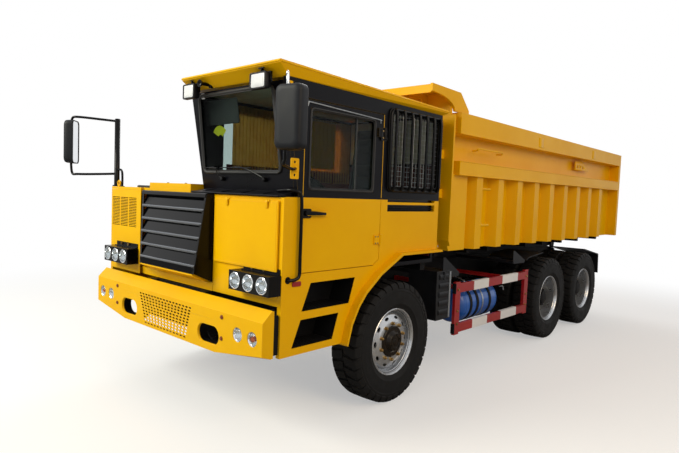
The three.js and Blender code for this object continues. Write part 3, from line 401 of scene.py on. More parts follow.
def addTurned(shape, axis, centre, profile, sides=32, closed=True):
    # profile is [radius, distance along the axis]; a closed one joins its end to its start
    turn = {"x": lambda r, d, a: (d, r * math.cos(a), r * math.sin(a)),
            "y": lambda r, d, a: (r * math.cos(a), d, r * math.sin(a)),
            "z": lambda r, d, a: (r * math.cos(a), r * math.sin(a), d)}[axis]
    rings = []
    for s in range(sides):
        a = 2 * math.pi * s / sides
        rings.append([at(*(c + o for c, o in zip(centre, turn(max(r, 0.01), d, a)))) for r, d in profile])
    corners = [p for ring in rings for p in ring]
    n = len(profile)
    faces = []
    for s in range(sides):
        t = (s + 1) % sides
        for i in range(n if closed else n - 1):
            j = (i + 1) % n
            faces.append((s * n + i, s * n + j, t * n + j, t * n + i))
    addFaces(shape, corners, faces)


def addRod(shape, axis, centre, radius, length, sides=20):
    addTurned(shape, axis, centre, [(0, 0), (radius, 0), (radius, length), (0, length)], sides)


def smoothPath(points, steps):
    found = []
    last = len(points) - 1
    for i in range(last):
        a, b, c, d = (Vector(points[max(0, min(last, k))]) for k in (i - 1, i, i + 1, i + 2))
        for s in range(steps):
            t = s / steps
            found.append(0.5 * ((2 * b) + (c - a) * t + (2 * a - 5 * b + 4 * c - d) * t ** 2
                                + (3 * b - 3 * c + d - a) * t ** 3))
    return found + [Vector(points[-1])]


def addTube(shape, points, radius, sides=12, closed=False, flat=1.0):
    path = [at(*p) for p in points]
    n = len(path)
    rings = []
    normal = None
    for i, p in enumerate(path):
        before = path[(i - 1) % n] if closed or i else p
        after = path[(i + 1) % n] if closed or i < n - 1 else p
        ahead = (after - before).normalized()
        if normal is None:
            helper = Vector((0, 0, 1)) if abs(ahead.z) < 0.9 else Vector((1, 0, 0))
            normal = ahead.cross(helper).normalized()
        normal = (normal - ahead * normal.dot(ahead)).normalized()
        other = ahead.cross(normal)
        rings.append([p + (normal * math.cos(a) * flat + other * math.sin(a)) * radius / 1000
                      for a in (2 * math.pi * k / sides for k in range(sides))])
    if closed:
        rings.append(rings[0])
    addLoft(shape, rings, capped=not closed)


def addHex(shape, axis, centre, across, length, washer=0.0):
    profile = [(0, 0), (across / 2 / math.cos(math.pi / 6), 0),
               (across / 2 / math.cos(math.pi / 6), length), (0, length)]
    addTurned(shape, axis, centre, profile, 6)
    if washer:
        addTurned(shape, axis, centre, [(0, 0), (washer, 0), (washer, length * 0.25), (0, length * 0.25)], 20)


def finishShape(name, shape, material, body, slot, bevel=3.0, segments=2, replaces=(), sharp=32):
    return finishMesh(name, closeShape(name, shape, True, sharp), material, body, bevel, segments,
                      replaces)


def closeShape(name, shape, merge=True, sharp=32):
    if merge:
        bmesh.ops.remove_doubles(shape, verts=shape.verts, dist=2e-5)
    bmesh.ops.recalc_face_normals(shape, faces=shape.faces)
    limit = math.radians(sharp)
    for face in shape.faces:
        face.smooth = True
    for edge in shape.edges:
        if len(edge.link_faces) == 2 and edge.calc_face_angle(0) > limit:
            edge.smooth = False
    mesh = bpy.data.meshes.new(name)
    shape.to_mesh(mesh)
    shape.free()
    return mesh


def addRounding(piece, bevel, segments):
    rounding = piece.modifiers.new("rounding", "BEVEL")
    rounding.width = bevel / 1000
    rounding.segments = segments
    rounding.limit_method = "ANGLE"
    rounding.angle_limit = math.radians(34)
    rounding.harden_normals = True
    rounding.use_clamp_overlap = True


def finishMesh(name, mesh, material, body, bevel=0.0, segments=2, replaces=(), matrix=None):
    piece = bpy.data.objects.new(name, mesh)
    bpy.context.scene.collection.objects.link(piece)
    if matrix:
        piece.matrix_world = matrix
    if not mesh.materials:
        mesh.materials.append(material)
    if bevel:
        addRounding(piece, bevel, segments)
    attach(piece, body)
    if replaces:
        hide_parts(*replaces)
    return piece


def addPlate(shape, outline, holes, place, thickness, edge=1.2):
    # a flat sheet with holes, drawn in (u, v); place turns (u, v, w) into a point on the truck
    curve = bpy.data.curves.new("sheet", "CURVE")
    curve.dimensions = "2D"
    curve.fill_mode = "BOTH"
    curve.extrude = max(thickness / 2 - edge, 0.01)
    curve.bevel_depth = edge
    curve.bevel_resolution = 0
    curve.offset = -edge
    for ring in (outline, *holes):
        spline = curve.splines.new("POLY")
        spline.points.add(len(ring) - 1)
        for point, (u, v) in zip(spline.points, ring):
            point.co = (u, v, 0, 1)
        spline.use_cyclic_u = True
    obj = bpy.data.objects.new("sheet", curve)
    bpy.context.scene.collection.objects.link(obj)
    bpy.context.view_layer.update()
    mesh = bpy.data.meshes.new_from_object(obj)
    flat = bmesh.new()
    flat.from_mesh(mesh)
    bmesh.ops.remove_doubles(flat, verts=flat.verts, dist=0.05)
    verts = [shape.verts.new(place(*v.co)) for v in flat.verts]
    for face in flat.faces:
        corners = [verts[v.index] for v in face.verts]
        if not shape.faces.get(corners):
            shape.faces.new(corners)
    flat.free()
    bpy.data.objects.remove(obj)
    bpy.data.curves.remove(curve)
    bpy.data.meshes.remove(mesh)


def onSide(x):  # places for addPlate: a sheet across the truck's width, on its top, or facing its front
    return lambda u, v, w: at(x + w, u, v)


def onTop(z):
    return lambda u, v, w: at(u, v, z + w)


def onFront(y):
    return lambda u, v, w: at(u, y + w, v)


def addSidePlate(shape, s, outline, holes, x, thickness, edge):  # the same plate on the side that s gives
    far = x + thickness
    addPlate(shape, outline, holes, lambda u, v, w: at(s * (x + w) if s > 0 else s * (far - w), u, v),
             thickness, edge)


def addBent(shape, points, steps, radius, sides=12):
    addTube(shape, smoothPath(points, steps), radius, sides)


def ringOf(centreU, centreV, radiusU, radiusV=None, count=24, flatU=0.0):
    radiusV = radiusV or radiusU
    points = []
    for i in range(count):
        a = 2 * math.pi * i / count
        shift = flatU if math.cos(a) >= 0 else -flatU
        points.append((centreU + shift + radiusU * math.cos(a), centreV + radiusV * math.sin(a)))
    return points


def roundedRing(u0, u1, v0, v1, radius, count=5):
    points = []
    for cu, cv, start in ((u1 - radius, v1 - radius, 0), (u0 + radius, v1 - radius, 90),
                          (u0 + radius, v0 + radius, 180), (u1 - radius, v0 + radius, 270)):
        for i in range(count + 1):
            a = math.radians(start + 90 * i / count)
            points.append((cu + radius * math.cos(a), cv + radius * math.sin(a)))
    return points


def dressNode(node, material, bevel=0.0):
    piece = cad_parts[node]
    piece.data.materials.clear()
    piece.data.materials.append(material)
    if bevel:
        weld = piece.modifiers.new("weld", "WELD")
        weld.merge_threshold = 2e-5
        addRounding(piece, bevel, 2)


def placeCopy(name, mesh, material, body, where, turned=False, bevel=0.0, replaces=()):
    # one mesh drawn about at(0, 0, 0), set down at another centre, turned half round for the other side
    turn = Matrix.Rotation(math.pi if turned else 0, 4, "Z")
    matrix = Matrix.Translation(at(*where)) @ turn @ Matrix.Translation(-at(0, 0, 0))
    return finishMesh(name, mesh, material, body, bevel, 1, replaces, matrix)


# CAD pieces that keep their own shape; their pressed edges are rounded by a few millimetres

plainNodes = [
    (chassisBlack, 4, ["chassis_frame", "front_axle", "rear_axle_1", "rear_axle_2", "rear_suspension",
                       "bed_subframe", "steering_knuckle_left", "steering_knuckle_right", "fuel_tank",
                       "hoist_barrel"]),
    (castIron, 8, ["engine"]),
    (hardChrome, 1.5, ["hoist_stage_1", "hoist_stage_2", "hoist_rod"]),
    (blackEnamel, 4, ["cab_rear", "cab_floor", "cab_side_right", "windscreen_frame"]),
    (stoveBlack, 3, ["radiator"]),
    (yellowEnamel, 4, ["hood_top", "hood_side", "cab_front", "cab_roof", "front_hatch", "bed_floor",
                       "bed_side_left", "bed_side_right", "bed_front", "tailgate"]),
    (twoToneEnamel, 3, ["cab_side_left", "door"]),
    (mouldedPlastic, 4, ["dashboard", "seat_base", "battery_box", "tool_box"]),
    (cabGlass, 0, ["windscreen", "side_glass_left", "side_glass_right", "door_glass"]),
    (redEnamel, 4, ["side_guard_left", "side_guard_right"]),
]
for material, bevel, nodes in plainNodes:
    for node in nodes:
        dressNode(node, material, bevel)
print("frame nodes are painted")


# Wheels: one tyre mesh serves all ten tyres

tyre = {"crown": 561, "lugs": 34, "skew": 5.5, "lugShare": 0.62}  # skew in degrees
tyreSection = [(300, 110), (306, 124), (320, 134), (338, 139), (352, 149), (358, 153), (366, 152), (420, 157),
               (440, 157), (470, 155), (474, 158), (480, 157), (505, 150), (530, 141), (543, 118)]


def makeTyreMesh():
    shape = bmesh.new()
    profile = tyreSection + [(r, -d) for r, d in reversed(tyreSection)] + [(285, -104), (285, 104)]
    addTurned(shape, "x", (0, 0, 0), profile, 72)
    pitch = 360 / tyre["lugs"]
    lugSection = [(8, 538), (8, tyre["crown"]), (118, 558.5), (138, 552), (151, 528), (158, 500),
                  (150, 494), (120, 520)]
    for side in (-1, 1):
        for i in range(tyre["lugs"]):
            start = (i + (0.5 if side > 0 else 0)) * pitch
            rings = []
            for a in (0, tyre["lugShare"] * pitch):
                ring = []
                for x, r in lugSection:
                    lean = tyre["skew"] * (1 - abs(x - 90) / 90)
                    widen = 0.10 * pitch * (x / 150) * (1 if a else -1)
                    turn = math.radians(start + a + lean + widen)
                    ring.append(at(side * x, r * math.cos(turn), r * math.sin(turn)))
                rings.append(ring)
            addLoft(shape, rings)
    return closeShape("tyre", shape, False)


def addPierced(shape, profile, count, spanRadius, hole, depth):
    # a dished disc about X with oval hand holes; profile gives x for each radius, hole is its two half shares
    inner, outer = spanRadius
    def depthAt(r):
        for (r0, x0), (r1, x1) in zip(profile, profile[1:]):
            if min(r0, r1) <= r <= max(r0, r1):
                return x0 + (x1 - x0) * (r - r0) / (r1 - r0)
        return profile[-1][1]
    side = [(1, 0), (1, .5), (1, 1), (.5, 1), (0, 1), (-.5, 1), (-1, 1), (-1, .5), (-1, 0), (-1, -.5),
            (-1, -1), (-.5, -1), (0, -1), (.5, -1), (1, -1), (1, -.5)]
    for i in range(count):
        def corner(t, s, back=0.0):
            a = 2 * math.pi * (i + t / 2) / count
            r = (inner + outer) / 2 + s * (outer - inner) / 2
            return at(depthAt(r) - back, r * math.cos(a), r * math.sin(a))
        rings = [[corner(t, s) for t, s in side]]
        for back in (0.0, depth):
            rings.append([corner(hole[0] * math.cos(2 * math.pi * k / 16),
                                 hole[1] * math.sin(2 * math.pi * k / 16), back) for k in range(16)])
        addLoft(shape, rings, capped=False)


def addNuts(shape, x, circle, count, size):
    for i in range(count):
        a = 2 * math.pi * (i + 0.5) / count
        centre = (x, circle * math.cos(a), circle * math.sin(a))
        addTurned(shape, "x", centre, [(0, 0), (size * 0.66, 0), (size * 0.66, 4), (size * 0.5, 6), (0, 6)],
                  16)
        addHex(shape, "x", centre, size, size * 0.72)
        addTurned(shape, "x", centre, [(0, 0), (size * 0.33, 0), (size * 0.33, size),
                                       (size * 0.27, size * 1.06), (0, size * 1.06)], 12)


def makeFrontRim():
    shape = bmesh.new()
    barrel = [(284, 60), (281, 96), (288, 104), (291, 122), (298, 131), (306, 133), (311, 129), (309, 122),
              (301, 118), (299, 100), (297, -100), (301, -118), (310, -124), (308, -131), (298, -130),
              (290, -118), (286, -90), (282, 40)]
    addTurned(shape, "x", (0, 0, 0), barrel, 64)
    cone = [(270, 52), (262, 70), (246, 84), (200, 101)]
    addPierced(shape, cone, 10, (200, 246), (0.40, 0.62), 14)
    outer = [(246, 84), (262, 70), (272, 54), (283, 50), (283, 42), (264, 40), (246, 62)]
    inner = [(200, 101), (192, 104), (186, 107), (118, 107), (112, 104), (112, 96), (118, 92), (150, 92),
             (196, 90)]
    for ring in (outer, inner):
        addTurned(shape, "x", (0, 0, 0), ring, 64)
    return closeShape("frontRim", shape)


def makeFrontHub():
    shape = bmesh.new()
    addTurned(shape, "x", (0, 0, 0), [(52, 60), (108, 60), (108, 108), (145, 108), (145, 114), (137, 120),
                                      (104, 122), (96, 130), (84, 148), (78, 154), (56, 156), (52, 150),
                                      (30, 150), (26, 156), (0, 157), (0, 90), (52, 90)], 40, False)
    # brake drum behind the disc
    addTurned(shape, "x", (0, 0, 0), [(60, 52), (214, 52), (214, -90), (60, -90)], 40)
    for i in range(6):
        a = math.radians(60 * i + 20)
        addHex(shape, "x", (155, 68 * math.cos(a), 68 * math.sin(a)), 13, 6)
    return closeShape("frontHub", shape)


def makeTwinRim():
    shape = bmesh.new()
    edge = 175 + 131
    half = [(310, edge - 2), (306, edge + 2), (298, edge), (291, edge - 9), (288, edge - 27),
            (281, edge - 35), (276, 150), (268, 60), (262, 36)]
    barrel = half + [(256, 28), (240, 24), (240, 12), (266, 14), (290, 16), (297, edge - 60),
                     (300, edge - 14), (308, edge - 10)]
    addTurned(shape, "x", (0, 0, 0), barrel, 64)
    addTurned(shape, "x", (0, 0, 0), [(r, -d) for r, d in barrel], 64)
    addPierced(shape, [(262, 26), (200, 26)], 10, (202, 240), (0.40, 0.62), 12)
    for ring in ([(240, 26), (258, 27), (258, 12), (240, 12)],
                 [(202, 26), (190, 34), (144, 34), (138, 30), (138, 12), (202, 12)]):
        addTurned(shape, "x", (0, 0, 0), ring, 48)
    return closeShape("twinRim", shape)


def makeTwinHub():
    shape = bmesh.new()
    addTurned(shape, "x", (0, 0, 0), [(78, -200), (146, -200), (146, -10), (136, 30), (134, 90), (126, 190),
                                      (118, 204), (118, 214), (96, 222), (90, 238), (60, 246), (0, 248),
                                      (0, 200), (78, 200)], 40, False)
    addTurned(shape, "x", (0, 0, 0), [(150, -190), (214, -190), (214, -20), (150, -20)], 40)  # brake drum
    for i in range(12):
        a = math.radians(30 * i + 8)
        addHex(shape, "x", (214, 106 * math.cos(a), 106 * math.sin(a)), 15, 9)
    return closeShape("twinHub", shape)


def makeNutRing(name, x, count):
    shape = bmesh.new()
    addNuts(shape, x, 167.5, count, 27)
    return closeShape(name, shape, False)


tyreMesh, frontRimMesh, frontHubMesh = makeTyreMesh(), makeFrontRim(), makeFrontHub()
twinRimMesh, twinHubMesh = makeTwinRim(), makeTwinHub()
frontNutMesh, twinNutMesh = makeNutRing("frontNuts", 107, 10), makeNutRing("twinNuts", 34, 10)
wheelPlaces = [("front_wheel", "front", 1140, 0), ("rear_wheels_1", "rear1", 990, 3550),
               ("rear_wheels_2", "rear2", 990, 4900)]
for stem, short, reach, y in wheelPlaces:
    for side, sign in (("left", 1), ("right", -1)):
        node = f"{stem}_{side}"
        tag = f"{short}{side.title()}"
        centre = (sign * reach, y, tyre["crown"])
        turned = sign < 0
        if short == "front":
            placeCopy(f"{tag}Tyre", tyreMesh, tyreRubber, node, centre, turned, 2.5, (node,))
            placeCopy(f"{tag}Rim", frontRimMesh, wheelSilver, node, centre, turned)
            placeCopy(f"{tag}Hub", frontHubMesh, stoveBlack, node, centre, turned)
            placeCopy(f"{tag}Nuts", frontNutMesh, yellowZinc, node, centre, turned)
            continue
        for spot, shift in (("Outer", 175), ("Inner", -175)):
            place = (sign * (reach + shift), y, tyre["crown"])
            placeCopy(f"{tag}{spot}Tyre", tyreMesh, tyreRubber, node, place, turned, 2.5,
                      (node,))
        placeCopy(f"{tag}Rim", twinRimMesh, wheelSilver, node, centre, turned)
        placeCopy(f"{tag}Hub", twinHubMesh, chassisBlack, node, centre, turned)
        placeCopy(f"{tag}Nuts", twinNutMesh, yellowZinc, node, centre, turned)
print("wheels are built")


# Bumper: a folded plate with tow slots, four lamps and a perforated middle

bumper = {"front": -1595, "rearTop": -1510, "plate": 8, "rows": 11, "pitch": 50, "slotX": (-640, 640),
          "slotZ": 770, "lampX": (1012, 1185, -1015, -1190), "lampZ": 838,
          "foot": [(-1298, 732), (-731, 645), (731, 645), (1298, 732)]}


def makeBumper():
    shape = bmesh.new()
    front, rearTop, foot = bumper["front"], bumper["rearTop"], bumper["foot"]
    outline = foot + [(1298, 976), (-1298, 976)]
    holes = [ringOf(x, bumper["slotZ"], 75, 75, 22, 70) for x in bumper["slotX"]]
    holes += [ringOf(x, bumper["lampZ"], 55, 55, 24) for x in bumper["lampX"]]
    for row in range(bumper["rows"]):
        z = 930 - 25.3 * row
        left, right = -457 + 10.2 * row, 404 - 7.4 * row
        count = int((right - left) / bumper["pitch"])
        for i in range(count):
            x = left + (i + 0.5) * (right - left) / count
            holes.append(ringOf(x, z, 19, 8.5, 8))
    addPlate(shape, outline, holes, onFront(front + 4), bumper["plate"], 1.5)
    addPrism(shape, "x", [(front + 1, 974), (rearTop, 1056), (rearTop + 6, 1052), (front + 9, 974)], -1300,
             1300)
    flange = []  # lower flange, folded back and down, deeper at its two ends
    for x, z in foot:
        low = z - (30 if abs(x) > 1000 else 8)
        flange.append([at(x, front + 1, z + 1), at(x, rearTop, low), at(x, rearTop, low + 8),
                       at(x, front + 9, z + 6)])
    for pair in zip(flange, flange[1:]):
        addLoft(shape, pair)
    for s in (1, -1):
        end = [at(s * 1299, front + 2, 733), at(s * 1299, front + 2, 975), at(s * 1304, rearTop, 1056),
               at(s * 1304, rearTop, 703)]
        back = [p + Vector((-s * 0.008, 0, 0)) for p in end]
        addLoft(shape, [end, back])
        addBlock(shape, sorted((s * 1295, s * 1303)), (rearTop - 2, rearTop + 18), (706, 1050))
    for x in bumper["slotX"]:  # rolled rim of each tow slot
        ring = [(u, front + 14, v) for u, v in ringOf(x, bumper["slotZ"], 79, 79, 24, 70)]
        addTube(shape, ring, 9, 8, True)
    return shape


finishShape("bumperShell", makeBumper(), yellowEnamel, "chassis", "yellow_paint", 1.5, 1, ("front_bumper",))

shape = bmesh.new()
for x in bumper["slotX"]:  # the box behind each tow slot, open at the back
    outer, inner = (ringOf(x, bumper["slotZ"], r, r, 24, 70) for r in (82, 78))
    rings = [[at(u, y, v) for u, v in ring]
             for ring, y in ((outer, -1585), (outer, -1500), (inner, -1500), (inner, -1585))]
    addLoft(shape, rings, capped=False)
addBlock(shape, (-1292, 1292), (-1508, -1498), (1010, 1046))
for s in (-1, 1):
    addBlock(shape, sorted((s * 800, s * 1292)), (-1508, -1498), (760, 1012))
    addBlock(shape, sorted((s * 460, s * 478)), (-1584, -1494), (690, 980))
addBlock(shape, (-458, 458), (-1512, -1504), (735, 990))
for s in (-1, 1):
    addBlock(shape, sorted((s * 1262, s * 1294)), (-1507, -1442), (722, 1012))
finishShape("bumperInside", shape, chassisBlack, "chassis", "chassis_black", 2)

shape, glow, bulbs, heads = bmesh.new(), bmesh.new(), bmesh.new(), bmesh.new()
bowl = [(56, -1588), (48, -1580), (42, -1562), (28, -1546), (0, -1540), (0, -1536), (32, -1538), (52, -1560),
        (60, -1586)]
for x in bumper["lampX"]:
    centre = (x, 0, bumper["lampZ"])
    addTurned(shape, "y", centre, bowl, 28, False)
    addTurned(glow, "y", centre, [(0, -1597), (24, -1595), (42, -1588), (47, -1582), (0, -1584)], 28, False)
for x in bumper["lampX"][1::2]:  # the two outer lamps have amber bulbs
    addTurned(bulbs, "y", (x, 0, bumper["lampZ"]), [(0, -1588), (14, -1586), (19, -1576), (17, -1562),
            (0, -1556)], 18, False)
for x in (820, -875):
    for z in (935, 771):
        addHex(heads, "y", (x, -1606, z), 20, 12)
        addTurned(heads, "y", (x, 0, z), [(0, -1599), (17, -1599), (17, -1595), (0, -1595)], 20, False)
finishShape("bumperLampBowls", shape, silvered, "chassis", "silvered_glass", 0)
finishShape("bumperLampGlasses", glow, lampGlass, "chassis", "lamp_lens", 0)
finishShape("bumperAmberBulbs", bulbs, amberGlass, "chassis", "lamp_lens", 0)
finishShape("bumperBolts", heads, rustySteel, "chassis", "zinc_bolts", 1.2, 1)


# Headlamps: a folded box with three round lamps, on a bracket strip

lampBox = {"radius": 60, "front": -1550, "back": -1436, "low": 1152, "high": 1300}
for side, x0, x1, slide in (("left", 830, 1300, 0), ("right", -1200, -730, -30)):
    shape, bowls, lenses, rims = bmesh.new(), bmesh.new(), bmesh.new(), bmesh.new()
    step = (x1 - x0) / 3
    centres = [x0 + step * (i + 0.5) for i in range(3)]
    front, back, low, high = (lampBox[k] for k in ("front", "back", "low", "high"))
    outline = [(x0, low), (x1, low), (x1, high), (x0, high)]
    addPlate(shape, outline, [ringOf(x, 1226, lampBox["radius"], count=28) for x in centres],
             onFront(front + 2), 4, 1)
    for z in ((low, low + 4), (high - 4, high)):
        addBlock(shape, (x0 + 1, x1 - 1), (front + 2, back), z)
    for x in ((x0, x0 + 4), (x1 - 4, x1)):
        addBlock(shape, x, (front + 2, back), (low + 1, high - 1))
    addBlock(shape, (x0 + 2, x1 - 2), (back - 6, back - 2), (low + 2, high - 2))
    addBlock(shape, (x0 + 40, x1 - 10), (back - 30, back), (high + 1, high + 7))
    addBlock(shape, (x0 + 40, x1 - 10), (back - 6, back), (high + 3, high + 44))
    parts = [("Box", shape, stoveBlack, "black_paint", 2, 2, (f"headlamp_{side}",))]
    for x in centres:
        bowl = [(59, -1550), (57, -1544), (50, -1524), (36, -1506), (16, -1498), (0, -1497), (0, -1493),
                (20, -1493), (56, -1510), (61, -1546)]
        addTurned(bowls, "y", (x, 0, 1226), bowl, 36, False)
        addTurned(bowls, "y", (x, 0, 1226), [(0, -1530), (10, -1526), (12, -1500), (0, -1500)], 14, False)
        addTurned(lenses, "y", (x, 0, 1226), [(0, -1561), (24, -1559.5), (46, -1556), (57, -1550),
                                              (57, -1547), (0, -1549)], 36, False)
        addTurned(rims, "y", (x, 0, 1226), [(56, -1556), (60, -1557), (64, -1554), (64, -1549),
                                            (56, -1549)], 36)
    bolts = bmesh.new()
    for x in (x0 + 150, x0 + 290):
        addHex(bolts, "y", (x, back - 18, high + 26), 17, 12, 13)
    parts += [("Bowls", bowls, silvered, "silvered_glass", 0), ("Lenses", lenses, lampGlass, "lamp_lens", 0),
              ("Bolts", bolts, yellowZinc, "zinc_bolts", 1, 1), ("Rims", rims, silvered, "silvered_glass", 0)]
    for part, piece, finish, slot, *edges in parts:
        bmesh.ops.translate(piece, verts=piece.verts[:], vec=(0, slide / 1000, 0))
        finishShape(f"headlamp{part}{side.title()}", piece, finish, "chassis", slot, *edges)


# Grille: five rolled blades with lips over a wire mesh, between two cheeks

grille = {"blades": 5, "low": 1266, "pitch": 114}
shape = bmesh.new()
blades, lips = bmesh.new(), bmesh.new()
for xBack, xTop, xFoot, sheet in ((425, 415, 405, 25), (-700, -600, -445, 25)):
    rings = []
    for dx in (0, sheet):
        rings.append([at(xBack + dx, -1434, 1140), at(xFoot + dx, -1600, 1215), at(xTop + dx, -1500, 1866),
                      at(xBack + dx, -1434, 1866)])
    addLoft(shape, rings)
addPrism(shape, "z", [(-702, -1434), (-602, -1502), (442, -1502), (452, -1434)], 1838, 1867)
addPrism(shape, "x", [(-1502, 1867), (-1510, 1858), (-1512, 1832), (-1504, 1832), (-1496, 1856)], -596, 436)
for i in range(grille["blades"]):
    z = grille["low"] + i * grille["pitch"]
    t = (1840 - z) / 625
    y = -1500 - 100 * t
    left = -600 + 155 * t + 4
    right = 436 - 12 * t
    lip = [(y + 13 + 13 * math.cos(a), z + 6 + 13 * math.sin(a))
           for a in [math.radians(d) for d in range(20, -221, -30)]]
    addRod(lips, "x", (left + 2, y + 9, z + 6), 14.5, right - left - 4, 16)
    inner = [(u * 0.75 + (y + 13) * 0.25, v * 0.75 + (z + 6) * 0.25) for u, v in lip]
    outline = lip + [(y + 46, z + 108), (y + 50, z + 106)] + inner[::-1]
    addPrism(blades, "x", outline, left, right)
    addPrism(blades, "x", [(y - 1, z + 8), (y - 6, z + 2), (y - 4, z - 10), (y + 8, z - 12),
                           (y + 30, z + 60)], right - 26, right + 3)
finishShape("grilleCheeks", shape, stoveBlack, "chassis", "black_paint", 3, 2, ("grille",))
addPrism(blades, "x", [(-1596, 1268), (-1599, 1212), (-1590, 1212), (-1586, 1268)], -444, 420)
# the lips' blue-grey base colour is a painted sky reflection
finishShape("grilleLips", lips, lipPaintedReflection, "chassis", "black_paint", 0, sharp=50)
finishShape("grilleBlades", blades, bladeBlack, "chassis", "black_paint", 0, 1, sharp=40)
shape = bmesh.new()
for i in range(38):
    x = -575 + i * 26
    addRod(shape, "z", (x, -1438, 1160), 1.6, 690, 5)
for i in range(27):
    addRod(shape, "x", (-585, -1435, 1165 + i * 26), 1.6, 1000, 5)
for z in ((1146, 1162), (1828, 1840)):
    addBlock(shape, (-598, 424), (-1442, -1430), z)
finishShape("grilleMesh", shape, stoveBlack, "chassis", "black_paint", 0)


# Hood front: perforated in three fields of fine slots; a yellow apron runs forward under the grille

shape = bmesh.new()
holes = []
for x0 in (-1282, -1112, -942):
    for row in range(19):
        holes.append(roundedRing(x0, x0 + 156, 1503 + row * 15.4, 1510 + row * 15.4, 3, 2))
addPlate(shape, [(-1303, 1065), (-702, 1065), (-702, 1864), (-1303, 1864)], holes, onFront(-1461), 6, 1)
addBlock(shape, (-1303, -1297), (-1460, -1398), (1065, 1864))
addBlock(shape, (-1297, -702), (-1460, -1398), (1858, 1864))
addBlock(shape, (-703, 453), (-1434, -1398), (1065, 1134))
addPrism(shape, "x", [(-1596, 1208), (-1580, 1210), (-1398, 1134), (-1398, 1126), (-1434, 1126),
                      (-1596, 1197)], -440, 400)
for s, x in ((-1, -1303), (1, -702)):
    addRod(shape, "z", (x - s * 5, -1460, 1066), 5, 796, 10)
finishShape("hoodFrontPanel", shape, yellowEnamel, "chassis", "yellow_paint", 1, 1, ("hood_front",))
shape = bmesh.new()
for i in range(12):
    addBlock(shape, (-1280 + i * 48, -1276 + i * 48), (-1442, -1436), (1480, 1810))
addBlock(shape, (-1290, -720), (-1436, -1430), (1478, 1812))
finishShape("hoodFrontScreen", shape, chassisBlack, "chassis", "chassis_black", 0)
print("front end is built")


# Cab outside. The windscreen leans forward along this line.

pillar = {"footY": -1298, "headY": -1446, "footZ": 1875, "headZ": 2720}


def pillarY(z):
    footY, headY, footZ, headZ = (pillar[k] for k in ("footY", "headY", "footZ", "headZ"))
    return footY + (headY - footY) * (z - footZ) / (headZ - footZ)


def onScreen(x, z, out=0.0):  # a point that far in front of the windscreen plane
    return (x, pillarY(z) - out, z)


hatch = {"left": 519, "right": 1268, "top": 1838, "bottom": 1322, "front": -1455, "hinges": (665, 1146)}
shape = bmesh.new()
addBlock(shape, (hatch["left"] - 30, hatch["right"] - 6), (hatch["front"], -1440),
         (hatch["bottom"], hatch["top"]))
finishShape("hatchPanel", shape, yellowEnamel, "front_hatch", "yellow_paint", 3, 2, ("front_hatch",))
shape = bmesh.new()
seam = [(x, hatch["front"] - 0.5, z) for x, z in roundedRing(hatch["left"] - 16, hatch["right"] - 20, 1336,
        1824, 8, 3)]
addTube(shape, seam, 1.8, 6, True)
for x in hatch["hinges"]:
    addRod(shape, "x", (x - 26, hatch["front"] + 1, 1834), 9, 52, 12)
    path = smoothPath([(x, -1452, 1838), (x, -1463, 1836), (x, -1466, 1815), (x, -1462, 1792),
                       (x - 8, -1457, 1784)], 4)
    addTube(shape, path, 6, 8, flat=2.2)
finishShape("hatchHinges", shape, yellowEnamel, "front_hatch", "yellow_paint", 0)

shape = bmesh.new()  # handrail round the corner of the cab, bent from one tube
addBent(shape, [(1120, -1330, 1912), (1250, -1352, 1918), (1318, -1322, 1912), (1336, -1296, 1872),
                (1336, -1290, 1700), (1336, -1290, 1400), (1336, -1292, 1296), (1332, -1325, 1268),
                (1318, -1372, 1262), (1300, -1376, 1262)], 6, 13, 14)
addTurned(shape, "x", (1303, -1376, 1262), [(0, 0), (26, 0), (26, 5), (0, 5)], 20, False)
addBent(shape, [(-1262, -1429, 2062), (-1190, -1429, 2060), (-1160, -1429, 2036), (-1152, -1429, 1980),
        (-1152, -1429, 1900), (-1152, -1429, 1891)], 5, 11, 12)
addTurned(shape, "z", (-1152, -1429, 1890), [(0, 0), (24, 0), (24, 5), (0, 5)], 20, False)
finishShape("handrails", shape, stoveBlack, "chassis", "black_paint", 0)
shape = bmesh.new()
addPlate(shape, roundedRing(-1334, -1246, 1210, 1246, 10, 3), [], onSide(1309), 9, 1.5)
finishShape("cornerReflector", shape, redAcrylic, "chassis", "red_paint", 0)

shape = bmesh.new()  # dark ribbed strip on the hood deck
addBlock(shape, (-900, -612), (-1400, -1250), (1891, 1908))
for i in range(7):
    addBlock(shape, (-890 + i * 38, -872 + i * 38), (-1396, -1254), (1905, 1912))
finishShape("deckDarkStrip", shape, sealRubber, "chassis", "black_plastic", 2)
shape = bmesh.new()  # pressed seams and a lid on the deck
for y in (-900, -380, 120):
    addBlock(shape, (-1290, 90), (y - 5, y + 5), (1888, 1893))
addPlate(shape, roundedRing(-1180, -160, -1150, -420, 40, 4), [], onTop(1893), 6, 2)
for x in (-1100, -240):
    addRod(shape, "x", (x - 30, -412, 1897), 8, 60, 12)
finishShape("deckLid", shape, yellowEnamel, "chassis", "yellow_paint", 2)
shape = bmesh.new()
for x in (-1120, -220):
    addHex(shape, "z", (x, -1120, 1896), 22, 12, 16)
for x in (-560, -250, 60):
    addHex(shape, "z", (x, -1262, 1941), 18, 8, 14)
finishShape("deckBolts", shape, yellowZinc, "chassis", "zinc_bolts", 1, 1)

shape = bmesh.new()  # cowl shelf: pressed ribs and its rolled front edge
for x in (300, 560, 820, 1080):
    addLoft(shape, [[at(x - 9, y, z), at(x, y, z + 6), at(x + 9, y, z)]
                    for y, z in ((-1446, 1881), (-1310, 1905))])
addRod(shape, "x", (143, -1449, 1874), 8, 1116, 12)
finishShape("cowlRibs", shape, blackEnamel, "chassis", "black_paint", 0)

screen = {"left": 1150, "right": 152, "topRight": 205, "bottom": 2045, "top": 2672, "corner": 40}


